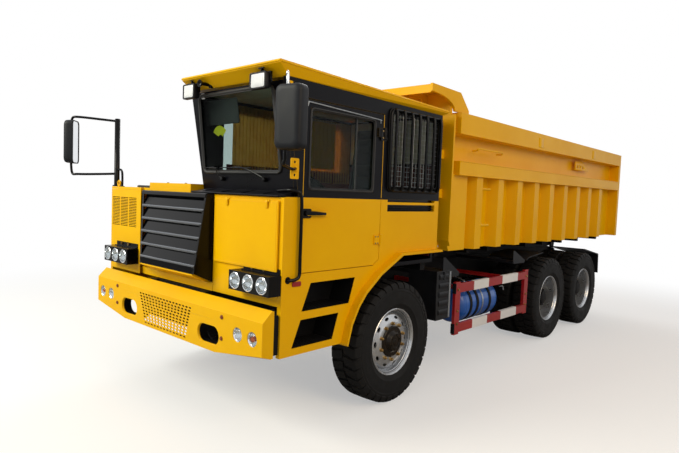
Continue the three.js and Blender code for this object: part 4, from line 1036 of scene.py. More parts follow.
def screenRing(inset):
    left, right, topRight, bottom, top, c = screen.values()
    return [(right + inset, bottom + c), (right + c * 0.3 + inset, bottom + c * 0.3),
            (right + c, bottom + inset), (left - c, bottom + inset),
            (left - c * 0.3 - inset, bottom + c * 0.3), (left - inset, bottom + c), (left - inset, top - c),
            (left - c * 0.3 - inset, top - c * 0.3), (left - c, top - inset), (topRight + c, top - inset),
            (topRight + c * 0.3 + inset, top - c * 0.3), (topRight + inset, top - c)]


shape = bmesh.new()
addTube(shape, [onScreen(x, z, 2) for x, z in screenRing(0)], 13, 12, True)
addTube(shape, [onScreen(x, z, 4) for x, z in screenRing(16)], 5, 8, True)
finishShape("windscreenSeal", shape, sealRubber, "chassis", "black_plastic", 0, sharp=60)

shape = bmesh.new()  # two parked wipers
for pivot, tip in ((960, 400), (420, 175)):
    px, py, pz = onScreen(pivot, 1992, 0)
    addTurned(shape, "y", (px, py, pz), [(0, -34), (15, -32), (18, -22), (18, 4), (0, 4)], 18, False)
    arm = smoothPath([(px, py - 26, pz), (px - 40, py - 34, pz + 26),
                      ((px + tip) / 2 + 60, pillarY(2078) - 34, 2078),
                      (tip + (pivot - tip) * 0.35, pillarY(2084) - 20, 2084)], 5)
    addTube(shape, arm, 6, 8, flat=0.6)
    for lift, size in ((12, 4), (5, 3)):
        addTube(shape, [onScreen(tip + (pivot - tip) * t, 2084 - 4 * t, lift)
                        for t in (0, 0.2, 0.4, 0.6, 0.74)], size, 8)
finishShape("wipers", shape, stoveBlack, "chassis", "black_paint", 0)

# A blank fluorescent sticker, fan-shaped, on the inside of the glass
stickerPaper = makeFinish("fluorescent yellow film", {"hex": "#EFE62C", "second": "#E6DC20", "patch": 60,
    "grain": 4, "depth": 0.05, "rough": (0.4, 0.55), "shader": {"IOR": 1.45, "Specular IOR Level": 0.3}})
fan = {"x": 420, "z": 2318, "outer": 106, "inner": 34, "spread": 58}
shape = bmesh.new()
outline = [(fan["x"] + fan["outer"] * math.sin(math.radians(d)),
            fan["z"] + fan["outer"] * math.cos(math.radians(d)))
           for d in range(-fan["spread"], fan["spread"] + 1, 8)]
outline += [(fan["x"] + fan["inner"] * math.sin(math.radians(d)),
             fan["z"] + fan["inner"] * math.cos(math.radians(d)))
            for d in range(fan["spread"], -fan["spread"] - 1, -14)]
addPlate(shape, outline[::-1], [], lambda u, v, w: at(u, pillarY(v) + 14 + w, v), 1.2, 0.3)
finishShape("blankSticker", shape, stickerPaper, "chassis", "yellow_paint", 0)
shape = bmesh.new()
addPlate(shape, roundedRing(243, 289, 2644, 2690, 8, 3), [], lambda u, v, w: at(u, pillarY(v) - 4 + w, v),
         7, 1.5)
finishShape("markerReflector", shape, opalLens, "chassis", "lamp_lens", 0)

# Work lamps under the roof's overhang, and a small round horn between them
workLamps = [(157, 321, 2630, 2751), (1033, 1215, 2626, 2744)]


def lampRings(lamp, steps):  # its rounded outline, shrunk towards its middle at each depth
    x0, x1, z0, z1 = lamp
    cx, cz = (x0 + x1) / 2, (z0 + z1) / 2
    return [[at(cx + (u - cx) * share, y, cz + (v - cz) * share)
             for u, v in roundedRing(x0, x1, z0, z1, 14, 4)] for y, share in steps]


shape, lenses, stays = bmesh.new(), bmesh.new(), bmesh.new()
for lamp in workLamps:
    x0, x1, z0, z1 = lamp
    cx, cz = (x0 + x1) / 2, (z0 + z1) / 2
    addLoft(shape, lampRings(lamp, ((-1488, 0.55), (-1500, 0.82), (-1530, 1.0), (-1562, 1.0), (-1566, 0.97),
                                    (-1566, 0.84), (-1556, 0.80), (-1556, 0.2))))
    addLoft(lenses, lampRings(lamp, ((-1558, 0.815), (-1563, 0.80), (-1567, 0.62), (-1568, 0.3))))
    for i in range(7):
        u = x0 + (x1 - x0) * (0.18 + i * 0.107)
        addRod(lenses, "z", (u, -1565, z0 + 26), 3, z1 - z0 - 52, 8)
    addBlock(stays, (cx - 5, cx + 5), (-1536, -1500), (z1 - 10, z1 + 36))
    addBlock(stays, (cx - 30, cx + 30), (-1536, -1500), (z1 + 30, z1 + 37))
    for s in (-1, 1):
        addBlock(stays, sorted((cx + s * (x1 - cx), cx + s * (x1 - cx + 6))), (-1528, -1508),
                 (cz - 10, z1 + 4))
        addHex(stays, "x", (cx + s * (x1 - cx + 6) - (6 if s < 0 else 0), -1518, cz), 14, 7)
    addBlock(stays, (x0 - 6, x1 + 6), (-1528, -1508), (z1 - 1, z1 + 4))
addTurned(stays, "y", (392, 0, 2742), [(0, -1545), (10, -1547), (27, -1562), (30, -1562), (28, -1552),
                                       (15, -1534), (13, -1470), (24, -1462), (24, -1440), (0, -1438)], 24,
          False)
finishShape("workLampBodies", shape, mouldedPlastic, "chassis", "black_plastic", 0, sharp=50)
finishShape("workLampLenses", lenses, opalLens, "chassis", "lamp_lens", 0)
finishShape("workLampStays", stays, stoveBlack, "chassis", "black_paint", 1, 1)

shape = bmesh.new()  # rain channel and pressed ribs of the roof
addTube(shape, [(1343, -1540, 2800), (1345, 630, 2738)], 7, 10)
addTube(shape, [(114, -1546, 2803), (1341, -1546, 2803)], 8, 10)
for x in (330, 560, 790, 1020):
    addLoft(shape, [[at(x - 26, y, z), at(x - 14, y, z + 6), at(x + 14, y, z + 6), at(x + 26, y, z)]
                    for y, z in ((-1400, 2825), (500, 2769))])
finishShape("roofTrim", shape, yellowEnamel, "chassis", "yellow_paint", 0)


# Mirrors: a blown shell with a silvered pane on its rear side

def addMirrorHead(shell, pane, centre, turn):
    cx, cy, cz = centre
    def place(u, d, v):
        return at(cx + u * math.cos(turn) - d * math.sin(turn),
                  cy + u * math.sin(turn) + d * math.cos(turn), cz + v)
    section = [(-48, 0.55, 0.80), (-46, 0.78, 0.90), (-38, 0.90, 0.955), (-22, 0.965, 0.985),
               (0, 0.99, 0.995), (34, 1, 1), (44, 1, 1), (48, 0.98, 0.99), (47, 0.93, 0.965),
               (36, 0.91, 0.955)]
    rings = [[place(u * su, d, v * sv) for u, v in roundedRing(-106, 106, -215, 215, 44, 7)]
             for d, su, sv in section]
    addLoft(shell, rings)
    rings = [[place(u * 0.895, d, v * 0.95) for u, v in roundedRing(-106, 106, -215, 215, 40, 7)]
             for d in (37, 42)]
    addLoft(pane, rings)


mirrorLeft = {"head": (1545.6, -1620, 2395), "turn": 0.24}
mirrorRight = {"head": (-1546.8, -1777.1, 2320), "turn": -0.66}
shells, panes, arms, bright = bmesh.new(), bmesh.new(), bmesh.new(), bmesh.new()
addMirrorHead(shells, panes, mirrorLeft["head"], mirrorLeft["turn"])
hx, hy, hz = mirrorLeft["head"]
addBent(arms, [(1316, -1345, 2075), (1390, -1450, 2066), (hx - 80, hy + 26, 2086), (hx - 56, hy + 14, 2130),
        (hx - 50, hy + 8, 2230)], 6, 12, 12)
addBent(bright, [(1316, -1415, 2648), (1390, -1520, 2672), (hx - 50, hy + 8, 2692), (hx - 36, hy, 2664),
        (hx - 34, hy, 2590)], 6, 10, 12)
finishShape("mirrorShellLeft", shells, mouldedPlastic, "chassis", "black_plastic", 0, 1, ("mirror_left",),
            sharp=60)
finishShape("mirrorPaneLeft", panes, silvered, "chassis", "silvered_glass", 0)
finishShape("mirrorLoopLeft", bright, hardChrome, "chassis", "hard_chrome", 0)
shells, panes = bmesh.new(), bmesh.new()
addMirrorHead(shells, panes, mirrorRight["head"], mirrorRight["turn"])
hx, hy, hz = mirrorRight["head"]
addRod(arms, "z", (-1272, -1429, 1900), 27, 672, 24)
addTurned(arms, "z", (-1272, -1429, 2572), [(0, 6), (20, 5), (27, 0), (0, 0)], 24, False)
addPlate(arms, roundedRing(-1303, -1241, -1462, -1396, 8, 3), [], onTop(1897), 12, 2)
for z, low in ((2552, 2500), (2020, 2140)):
    s = 1 if z > 2300 else -1
    addBent(arms, [(-1272, -1429, z), (-1370, -1545, z + s * 10), (hx + 60, hy + 50, z + s * 20),
            (hx + 8, hy + 10, z + s * 10), (hx, hy, low)], 6, 12, 12)
finishShape("mirrorShellRight", shells, mouldedPlastic, "chassis", "black_plastic", 0, 1, ("mirror_right",),
            sharp=60)
finishShape("mirrorPaneRight", panes, silvered, "chassis", "silvered_glass", 0)
finishShape("mirrorArms", arms, stoveBlack, "chassis", "black_paint", 0)
shape = bmesh.new()
addPlate(shape, roundedRing(-1388, -1308, 2000, 2150, 10, 3),
         [ringOf(-1348, 2028, 11, count=14), ringOf(-1348, 2122, 11, count=14)], onSide(1309), 7, 1)
addPlate(shape, roundedRing(-1436, -1392, 2606, 2690, 8, 3), [], onSide(1309), 7, 1)
addRod(shape, "x", (1312, -1345, 2075), 17, 22, 16)
finishShape("mirrorBrackets", shape, yellowEnamel, "chassis", "yellow_paint", 0)


# Door furniture

door = {"front": -1248, "rear": -325, "belt": 1880, "top": 2590}
shape = bmesh.new()
addPlate(shape, roundedRing(-1262, -1168, 1716, 1786, 14, 4), [], onSide(1311), 14, 2)
addLoft(shape, [[at(1305 + a, y, z + b) for a, b in ((0, -h), (t, -h * 0.7), (t, h * 0.7), (0, h))]
                for y, z, h, t in ((-1240, 1753, 22, 30), (-1170, 1752, 20, 36), (-1090, 1750, 17, 34),
                                   (-1032, 1748, 13, 33), (-1006, 1747, 9, 20))])
addTurned(shape, "x", (1320, -1232, 1752), [(0, 12), (9, 12), (11, 9), (11, 0), (0, 0)], 18, False)
addPlate(shape, roundedRing(-372, -334, 2370, 2471, 6, 2),
         [ringOf(-352, v, 7, count=10) for v in (2392, 2450)], onSide(1317.5), 5, 1)
finishShape("doorHandle", shape, stoveBlack, "door", "black_paint", 2)
shape = bmesh.new()
for z in (2392, 2450):
    addHex(shape, "x", (1320, -352, z), 13, 6)
for y in (-392, -360):
    for z in (1494, 1550):
        addHex(shape, "x", (1316, y, z), 13, 6)
finishShape("doorHingeBolts", shape, yellowZinc, "door", "zinc_bolts", 1, 1)
shape = bmesh.new()  # the other leaf of the upper hinge stays on the cab
addPlate(shape, roundedRing(-309, -272, 2370, 2471, 6, 2), [], onSide(1305), 6, 1)
for z in (2392, 2450):
    addHex(shape, "x", (1311, -290, z), 13, 6)
finishShape("cabHingeLeaf", shape, stoveBlack, "chassis", "black_paint", 1)

shape = bmesh.new()  # window seal, sliding divider and belt rubber
for inset, size, out in ((0, 8, 1304), (12, 4, 1300)):
    ring = [(out, u, v) for u, v in roundedRing(-1196 + inset, -438 - inset, 1930 + inset, 2530 - inset, 34,
                                                5)]
    addTube(shape, ring, size, 10, True)
addBlock(shape, (1276, 1292), (-668, -650), (1932, 2528))
addBlock(shape, (1286, 1294), (-1190, -440), (1926, 1938))
finishShape("doorSeals", shape, sealRubber, "door", "black_plastic", 0, sharp=60)
shape = bmesh.new()
addBent(shape, [(1306, -1232, 2540), (1308, -1226, 2566), (1308, -1200, 2570), (1308, -800, 2556),
                (1308, -400, 2541), (1308, -378, 2534), (1306, -372, 2512)], 5, 5, 10)
finishShape("doorRainStrip", shape, galvanised, "door", "hard_chrome", 0)
shape = bmesh.new()  # the jambs show as a yellow line beside the black door
for y in ((door["front"] - 6.0, door["front"] - 1.6), (door["rear"] + 1.6, door["rear"] + 6.0)):
    addBlock(shape, (1268, 1305), y, (door["belt"], door["top"]))
finishShape("doorJambs", shape, yellowEnamel, "chassis", "yellow_paint", 0)

shape = bmesh.new()  # black seals of the fixed side windows, left and right
for x, y0, y1, z0, z1 in ((1286, -235, 520, 1985, 2620), (102, -1130, -420, 1990, 2600),
                          (102, -300, 460, 1990, 2600)):
    ring = [(x, u, v) for u, v in roundedRing(y0, y1, z0, z1, 24, 4)]
    addTube(shape, ring, 10, 10, True)
finishShape("sideSeals", shape, sealRubber, "chassis", "black_plastic", 0, sharp=60)

# Window guard: a rounded frame, seven bent bars and wire mesh behind them
guard = {"bars": 7, "first": -205, "pitch": 118, "reach": 1352, "wire": 44}
shape = bmesh.new()
addPlate(shape, roundedRing(-262, 560, 1935, 2668, 60, 6), [roundedRing(-222, 520, 1985, 2620, 40, 6)],
         onSide(1311), 10, 2)
addTube(shape, [(1322, u, v) for u, v in roundedRing(-244, 542, 1953, 2650, 56, 6)], 15, 12, True)
for i in range(guard["bars"]):
    y = guard["first"] + i * guard["pitch"]
    reach = guard["reach"]
    path = smoothPath([(1318, y, 1958), (1342, y, 1964), (reach - 2, y, 1990), (reach, y, 2040),
                       (reach, y, 2300), (reach, y, 2560), (reach - 2, y, 2614), (1342, y, 2640),
                       (1318, y, 2646)], 4)
    addTube(shape, path, 14, 12)
finishShape("guardBars", shape, stoveBlack, "chassis", "black_paint", 0, 1, ("window_guard",), sharp=50)
shape = bmesh.new()
for i in range(18):
    addRod(shape, "z", (1301, -222 + i * guard["wire"], 1985), 1.8, 635, 5)
for i in range(15):
    addRod(shape, "y", (1299, -222, 1990 + i * guard["wire"]), 1.8, 742, 5)
finishShape("guardMesh", shape, galvanised, "chassis", "hard_chrome", 0)

# Vent slots: dark louvres behind the openings
shape = bmesh.new()
addBlock(shape, (1262, 1266), (-240, 532), (1752, 1884))
for z in (1778, 1796, 1814, 1858):
    addPrism(shape, "y", [(1266, z - 8), (1292, z - 14), (1292, z - 11), (1266, z - 4)], -228, 520)
finishShape("ventLouvres", shape, stoveBlack, "chassis", "black_paint", 0)

# Step recesses: black inner boxes with a raised tread
stepLean = 0.42


def stepOutline(z0, z1, yFront, yRear):
    slant, inset = stepLean * (z1 - z0), 3
    return [(yFront - slant + inset, z0 + inset), (yRear - slant * 0.75 - inset, z0 + inset),
            (yRear - inset, z1 - inset), (yFront + inset, z1 - inset)]


shape = bmesh.new()
for sign in (1, -1):
    for z0, z1, yFront, yRear in ((745, 950, -1232, -812), (1012, 1222, -1138, -625)):
        outline = stepOutline(z0, z1, yFront, yRear)
        rings = [[at(sign * x, u, v) for u, v in outline] for x in (1302.5, 1082)]
        addLoft(shape, rings, capped=False)
        addFaces(shape, rings[1], [(0, 1, 2, 3)])
        slant = stepLean * (z1 - z0)
        for row in range(5):
            for col in range(9):
                y = yFront - slant + 30 + col * 36 + (18 if row % 2 else 0)
                addLoft(shape, [[at(sign * (1110 + row * 38 + a * r), y + b * r * 0.5, z) for a, b in
                                 ((1, 0), (0, 1), (-1, 0), (0, -1))] for r, z in ((13, z0 + 3), (9, z0 + 7))])
finishShape("stepLiners", shape, chassisBlack, "chassis", "chassis_black", 0)

# Liners inside the wheel arches, and the hood louvres on the right side
archLine = [(-767, 690), (-720, 860), (-640, 1000), (-550, 1100), (-360, 1240), (-60, 1390), (590, 1390)]
shape = bmesh.new()
for sign in (1, -1):
    outer = [(y + 16, z - 20) for y, z in archLine]
    inner = [(y + 22, z - 27) for y, z in archLine]
    rings = [[at(sign * x, u, v) for u, v in outer + inner[::-1]] for x in (905, 1262)]
    addLoft(shape, rings)
finishShape("archLiners", shape, mouldedPlastic, "chassis", "black_plastic", 0)
shape = bmesh.new()
for i in range(4):
    z = 1520 + 70 * i
    addPrism(shape, "y", [(-1266, z - 4), (-1300, z + 4), (-1316, z + 24), (-1312, z + 26), (-1298, z + 10),
                          (-1266, z + 2)], -700, 250)
finishShape("hoodLouvres", shape, yellowEnamel, "chassis", "yellow_paint", 0)
print("cab outside is built")


# Chassis sides

for side, s in (("Left", 1), ("Right", -1)):
    shape = bmesh.new()  # white bands wrapped round the red guard rails, and black end caps
    caps = bmesh.new()
    for z0, z1 in ((462, 561), (894, 993)):
        for y0, y1 in ((1453, 1797), (2144, 2565)):
            addBlock(shape, sorted((s * 1238.5, s * 1277.8)), (y0, y1), (z0 - 1.6, z1 + 1.6))
        for y in (1062, 2876):
            addBlock(caps, sorted((s * 1236, s * 1280)), (y - 6, y + 6), (z0 - 4, z1 + 4))
    finishShape(f"guardBands{side}", shape, whiteEnamel, "chassis", "white_paint", 1.2)
    finishShape(f"guardCaps{side}", caps, mouldedPlastic, "chassis", "black_plastic", 2)
    shape = bmesh.new()
    for y in (1111, 2820):
        for z in (560, 700, 930):
            addHex(shape, "x", (s * 1277.5 - (11 if s < 0 else 0), y, z), 20, 11, 14)
    finishShape(f"guardBolts{side}", shape, yellowZinc, "chassis", "zinc_bolts", 1, 1)
    shape = bmesh.new()  # brackets and strips along the chassis side
    for y0, z0, y1, z1 in ((835, 1285, 1174, 1105), (2470, 1268, 2820, 1136)):
        outline = [(y0, z0), (y0 + 30, z0 + 6), (y1, z1), (y1 - 20, z1 - 34), (y0 + 30, z1 - 30),
                   (y0, z1 + 20)]
        addPrism(shape, "x", outline[::-1] if s < 0 else outline, *sorted((s * 1238, s * 1246)))
        addBlock(shape, sorted((s * 436, s * 1242)), (y0 + 4, y0 + 44), (z1 - 26, z1 + 14))
    addPrism(shape, "x", [(5061, 1169), (5726, 1057), (5757, 736), (5738, 733), (5706, 1044), (5056, 1152)],
             *sorted((s * 700, s * 1250)))  # mudguard flap behind the last wheels
    addPrism(shape, "x", [(2880, 1130), (2960, 1166), (3420, 1205), (3420, 1193), (2965, 1154), (2888, 1120)],
             *sorted((s * 700, s * 1240)))
    finishShape(f"mudguards{side}", shape, mouldedPlastic, "chassis", "black_plastic", 2)
    shape = bmesh.new()  # pressed ribs and a latch on the side box
    for i in range(5):
        z = 690 + i * 92
        addPrism(shape, "y", [(s * 1251, z), (s * 1258, z + 12), (s * 1258, z + 48), (s * 1251, z + 60)],
                 770, 950)
    addBlock(shape, sorted((s * 1251, s * 1262)), (840, 870), (1060, 1140))
    finishShape(f"sideBoxRibs{side}", shape, mouldedPlastic, "chassis", "black_plastic", 2)
    shape = bmesh.new()
    addBlock(shape, sorted((s * 900, s * 1253)), (984, 989), (652, 1138))
    addBlock(shape, sorted((s * 1250, s * 1255)), (960, 989), (652, 1138))
    finishShape(f"sideBoxEdge{side}", shape, galvanised, "chassis", "hard_chrome", 1)

shape = bmesh.new()  # air tank with dished ends, weld beads and two bosses
ends = [(0, 1338), (60, 1340), (120, 1350), (165, 1366), (196, 1388), (212, 1420), (215, 1450)]
addTurned(shape, "y", (990, 0, 700), ends + [(r, 3580 - y) for r, y in ends[::-1]], 48, False)
for y in (1446, 1790, 2134):
    addTurned(shape, "y", (990, 0, 700), [(213, y - 6), (218, y - 3), (218, y + 3), (213, y + 6)], 48)
for y, x in ((1560, 1080), (2030, 1080)):
    addRod(shape, "z", (x, y, 880), 16, 40, 14)
finishShape("airTank", shape, blueEnamel, "chassis", "blue_paint", 0, 1, ("air_tank",), sharp=50)
shape, bands = bmesh.new(), bmesh.new()
for y in (1540, 1690, 1985):
    addTurned(shape, "y", (990, 0, 700), [(216, y - 26), (221, y - 26), (221, y + 26), (216, y + 26)], 48)
    addBlock(shape, (431, 800), (y - 20, y + 20), (880, 900))
    addRod(shape, "z", (782, y, 700), 9, 196, 12)
addTurned(bands, "y", (990, 0, 700), [(216, 1797), (219.5, 1797), (219.5, 1823), (216, 1823)], 48)
addBent(bands, [(1190, 2245, 838), (1196, 2300, 842), (1202, 2317, 830), (1202, 2330, 790)], 4, 7, 8)
addBent(bands, [(1080, 1560, 905), (1080, 1560, 960), (900, 1600, 990), (520, 1640, 1000),
                (440, 1640, 1000)], 5, 7, 8)
finishShape("tankStraps", shape, chassisBlack, "chassis", "chassis_black", 1, 1, sharp=50)
finishShape("tankBands", bands, galvanised, "chassis", "hard_chrome", 0, sharp=50)

shape, bands = bmesh.new(), bmesh.new()  # fuel tank straps, cap and hoses
strapHalf = 17
outer, inner = roundedRing(-1206, -614, 514, 996, 66, 4), roundedRing(-1201, -619, 519, 991, 61, 4)
for y in (1480, 1795, 2110):
    rings = [[at(u, y + d, v) for u, v in ring] for ring, d in ((outer, -strapHalf), (outer, strapHalf),
            (inner, strapHalf), (inner, -strapHalf))]
    addLoft(bands, rings + rings[:1], capped=False)
addTurned(shape, "z", (-760, 1500, 0), [(0, 1040), (44, 1038), (50, 1030), (50, 1004), (38, 1002),
                                        (38, 986), (0, 986)], 28, False)
addBent(shape, [(-700, 2150, 990), (-700, 2150, 1030), (-560, 2150, 1050), (-440, 2100, 1040)], 5, 11, 10)
finishShape("fuelCap", shape, stoveBlack, "chassis", "black_paint", 0)
finishShape("fuelTankStraps", bands, galvanised, "chassis", "hard_chrome", 0, sharp=50)

# Load bed: weld beads, rail lips, splice plates, end caps, rungs and rails

bedRib = {"first": 1150, "pitch": 505, "last": 5190}
shape, steel = bmesh.new(), bmesh.new()
for s in (1, -1):
    addTube(shape, [(s * 1186, 1130, 2152), (s * 1186, 6240, 2152)], 4, 6)
    for y in range(bedRib["first"], bedRib["last"] + 1, bedRib["pitch"]):
        for dy in (148, 370):
            addTube(shape, [(s * 1186, y + dy, 1362), (s * 1186, y + dy, 2138)], 4, 6)
        addTube(shape, [(s * 1187, y + 152, 2136), (s * 1304, y + 196, 2137), (s * 1304, y + 327, 2137),
                        (s * 1187, y + 366, 2136)], 4, 6)
    for z in (2562, 2282, 2144):  # rolled lips along both rails
        addTube(shape, [(s * 1334, 930, z), (s * 1334, 6236, z)], 5, 8)
    for y in (2900, 4920):  # splice plates over the rail joints
        addSidePlate(shape, s, roundedRing(y - 70, y + 70, 2588, 2712, 12, 3), [], 1335, 6, 1)
    for z in (2016, 1613):  # ladder rungs between the first two ribs
        addRod(steel, "y", (s * 1270, 1478, z), 15, 222, 12)
    addBent(steel, [(s * 1240, 1310, 2420), (s * 1300, 1310, 2420), (s * 1318, 1330, 2440),
                    (s * 1318, 1600, 2440), (s * 1318, 1850, 2440), (s * 1300, 1875, 2420),
                    (s * 1240, 1875, 2420)], 5, 9, 10)
    addSidePlate(shape, s, [(4400, 2392), (5000, 2392), (5000, 2410), (4700, 2520), (4400, 2520)],
                 [ringOf(4500 + i * 110, 2436, 22, count=14) for i in range(3)], 1240, 10, 1)
    addSidePlate(shape, s, roundedRing(890, 896, 2576, 2764, 2, 1), [], 1188, 144, 0.5)
finishShape("bedWelds", shape, yellowEnamel, "bed", "yellow_paint", 0, sharp=50)
finishShape("bedRungs", steel, yellowEnamel, "bed", "yellow_paint", 0)
shape = bmesh.new()
for x in (-960, -480, 0, 480, 960):  # stiffeners on the front wall and under the canopy
    for foot, head in ((1480, 1880), (2006, 2290)):
        addPrism(shape, "z", [(x - 50, 814), (x - 34, 772), (x + 34, 772), (x + 50, 814)], foot, head)
    addPrism(shape, "x", [(446, 2964), (446, 2930), (700, 2910), (813, 2790), (813, 2964)], x - 5, x + 5)
finishShape("bedFrontRibs", shape, yellowEnamel, "bed", "yellow_paint", 2)
shape = bmesh.new()  # wear plates on the bed floor, polished by the load
wornSteel = makeFinish("load-polished wear plate", {"hex": "#6E6A64", "second": "#57524C", "patch": 420,
    "grain": 6, "depth": 0.35, "rough": (0.35, 0.62), "dust": 0.5, "dustTop": 1500, "dustPatch": 260,
    "dustHex": "#8A7C66", "wear": 60, "wearShare": 0.3, "wearHex": "#9A9690", "shader": {"Metallic": 0.8}})
for i in range(5):
    y = 850 + i * 1090
    for x in (-1150, -382, 386):
        addBlock(shape, (x, x + 764), (y, y + 1082), (1385.6, 1391))
finishShape("bedWearPlates", shape, wornSteel, "bed", "chassis_black", 1.5)

shape, steel = bmesh.new(), bmesh.new()  # tailgate: hinge plates and pins
for s in (1, -1):
    addSidePlate(shape, s, [(6300, 2410), (6428, 2600), (6440, 2690), (6380, 2716), (6300, 2716)],
                 [ringOf(6395, 2672, 30, count=20)], 1226, 18, 1)
    addRod(steel, "x", (s * 1160 - 96, 6395, 2672), 20, 192, 18)
finishShape("tailgateHingePlates", shape, yellowEnamel, "bed", "yellow_paint", 1)
finishShape("tailgateHingePins", steel, rustySteel, "tailgate", "yellow_paint", 0)
shape = bmesh.new()
for x in (-1080, -640, -215, 215, 640, 1080):
    for dx in (-52, 52):
        addTube(shape, [(x + dx, 6366, 1482), (x + dx, 6366, 2556)], 4, 6)
    addPrism(shape, "x", [(6437, 1500), (6446, 1512), (6446, 2520), (6437, 2534)], x - 30, x + 30)
finishShape("tailgateTrim", shape, yellowEnamel, "tailgate", "yellow_paint", 0)
print("sides and bed are built")


# Underbody

shape, pipes, plated = bmesh.new(), bmesh.new(), bmesh.new()
for y, reach, z in ((0, 640, 690), (3550, 470, 640), (4900, 470, 640)):
    for s in (1, -1):  # brake chambers and their push rods
        addTurned(shape, "y", (s * reach, 0, z), [(0, y + 150), (60, y + 152), (74, y + 172), (80, y + 196),
                                                  (84, y + 200), (80, y + 208), (74, y + 240),
                                                  (56, y + 262), (0, y + 264)], 24, False)
        addRod(plated, "y", (s * reach, y + 60, z), 8, 94, 10)
        addBent(pipes, [(s * reach, y + 262, 640), (s * reach, y + 330, 680), (s * 440, y + 380, 800),
                (s * 390, y + 300, 812)], 5, 10, 8)
for s in (1, -1):  # U-bolts round the springs, air pipes clipped to the rails
    for y in (-70, 70):
        addBent(plated, [(s * 400 - 62, y, 610), (s * 400 - 62, y, 700), (s * 400, y, 700),
                         (s * 400 + 62, y, 700), (s * 400 + 62, y, 610)], 1, 11, 8)
    for z, size in ((1090, 9), (1062, 7)):
        addTube(pipes, [(s * 338, -1100, z), (s * 338, 5500, z)], size, 8)
    for i in range(11):
        addBlock(plated, sorted((s * 325, s * 349)), (-900 + i * 620, -884 + i * 620), (1048, 1104))
addBent(shape, [(-520, -300, 900), (-560, 100, 720), (-590, 500, 640), (-600, 1000, 620)], 6, 52, 18)
addTurned(shape, "y", (-640, 0, 610), [(0, 900), (52, 902), (118, 930), (122, 944), (122, 1260),
                                       (118, 1274), (52, 1300), (0, 1302)], 28, False)
finishShape("brakeChambers", shape, chassisBlack, "chassis", "chassis_black", 0, sharp=50)
finishShape("airPipes", pipes, mouldedPlastic, "chassis", "black_plastic", 0)
finishShape("springBolts", plated, yellowZinc, "chassis", "zinc_bolts", 0, sharp=50)

shape, lamps, ambers = bmesh.new(), bmesh.new(), bmesh.new()  # rear lamps on a crossbar, blank
addBlock(shape, (-1200, 1200), (5772, 5784), (943, 1015))
for s in (1, -1):
    addBlock(shape, sorted((s * 840, s * 1196)), (5758, 5822), (930, 1040))
    for i, target in ((0, lamps), (1, lamps), (2, ambers)):
        x = s * (905 + i * 115)
        addPlate(target, roundedRing(x - 50, x + 50, 940, 1030, 10, 3), [], onFront(5822.5), 10, 3)
addTurned(shape, "y", (0, 0, 900), [(0, 5500), (60, 5502), (60, 5600), (84, 5620), (84, 5650), (30, 5672),
                                    (30, 5640), (0, 5640)], 28, False)
finishShape("rearLampBar", shape, chassisBlack, "chassis", "chassis_black", 2)
finishShape("rearLamps", lamps, redAcrylic, "chassis", "red_paint", 0)
finishShape("rearAmbers", ambers, amberGlass, "chassis", "lamp_lens", 0)
print("underbody is built")


# Cab interior. Wheel and seat stand in for their plain CAD solids.

wheelAt = {"x": 900, "y": -852, "z": 1956, "tilt": 0.6}


def onWheel(u, v, out=0.0):  # in the plane of the steering wheel
    c, s = math.cos(wheelAt["tilt"]), math.sin(wheelAt["tilt"])
    return (wheelAt["x"] + u, wheelAt["y"] + v * c + out * s, wheelAt["z"] - v * s + out * c)


shape = bmesh.new()
turn = [2 * math.pi * k / 48 for k in range(48)]
addTube(shape, [onWheel(205 * math.cos(a), 205 * math.sin(a)) for a in turn], 15, 14, True)
for k in range(3):
    a = math.radians(90 + 120 * k)
    spoke = [onWheel(d * math.cos(a), d * math.sin(a), -2 - 10 * (1 - d / 200)) for d in (30, 90, 150, 200)]
    addTube(shape, spoke, 11, 10, flat=1.5)
for k in range(24):
    c = 2 * math.pi * k / 24
    addTube(shape, [onWheel(r * math.cos(c), r * math.sin(c), h) for r, h in ((0, 6), (30, 4), (52, -14))],
            8, 6)
finishShape("steeringWheel", shape, mouldedPlastic, "chassis", "black_plastic", 0, 1, ("steering_wheel",),
            sharp=60)

shape, glow = bmesh.new(), bmesh.new()  # instrument hood, gauges, column shroud and levers
addPrism(shape, "x", [(-1060, 2014), (-1000, 1990), (-985, 2000), (-1010, 2052), (-1090, 2072),
                      (-1130, 2030)], 720, 1080)
for x in (800, 900, 1000):
    addTurned(glow, "y", (x, 0, 2020), [(0, -998), (34, -998), (38, -994), (38, -988), (34, -990),
                                        (0, -992)], 24, False)
addBent(shape, [(1000, -940, 1880), (1060, -900, 1900), (1110, -860, 1930)], 4, 7, 8)
addBent(shape, [(620, -700, 1302), (620, -690, 1500), (610, -670, 1700), (600, -660, 1760)], 4, 12, 10)
addTurned(shape, "z", (600, -660, 0), [(0, 1742), (22, 1746), (30, 1770), (22, 1796), (0, 1802)], 18, False)
finishShape("dashDetails", shape, mouldedPlastic, "chassis", "black_plastic", 2)
finishShape("dashGauges", glow, opalLens, "chassis", "lamp_lens", 0)

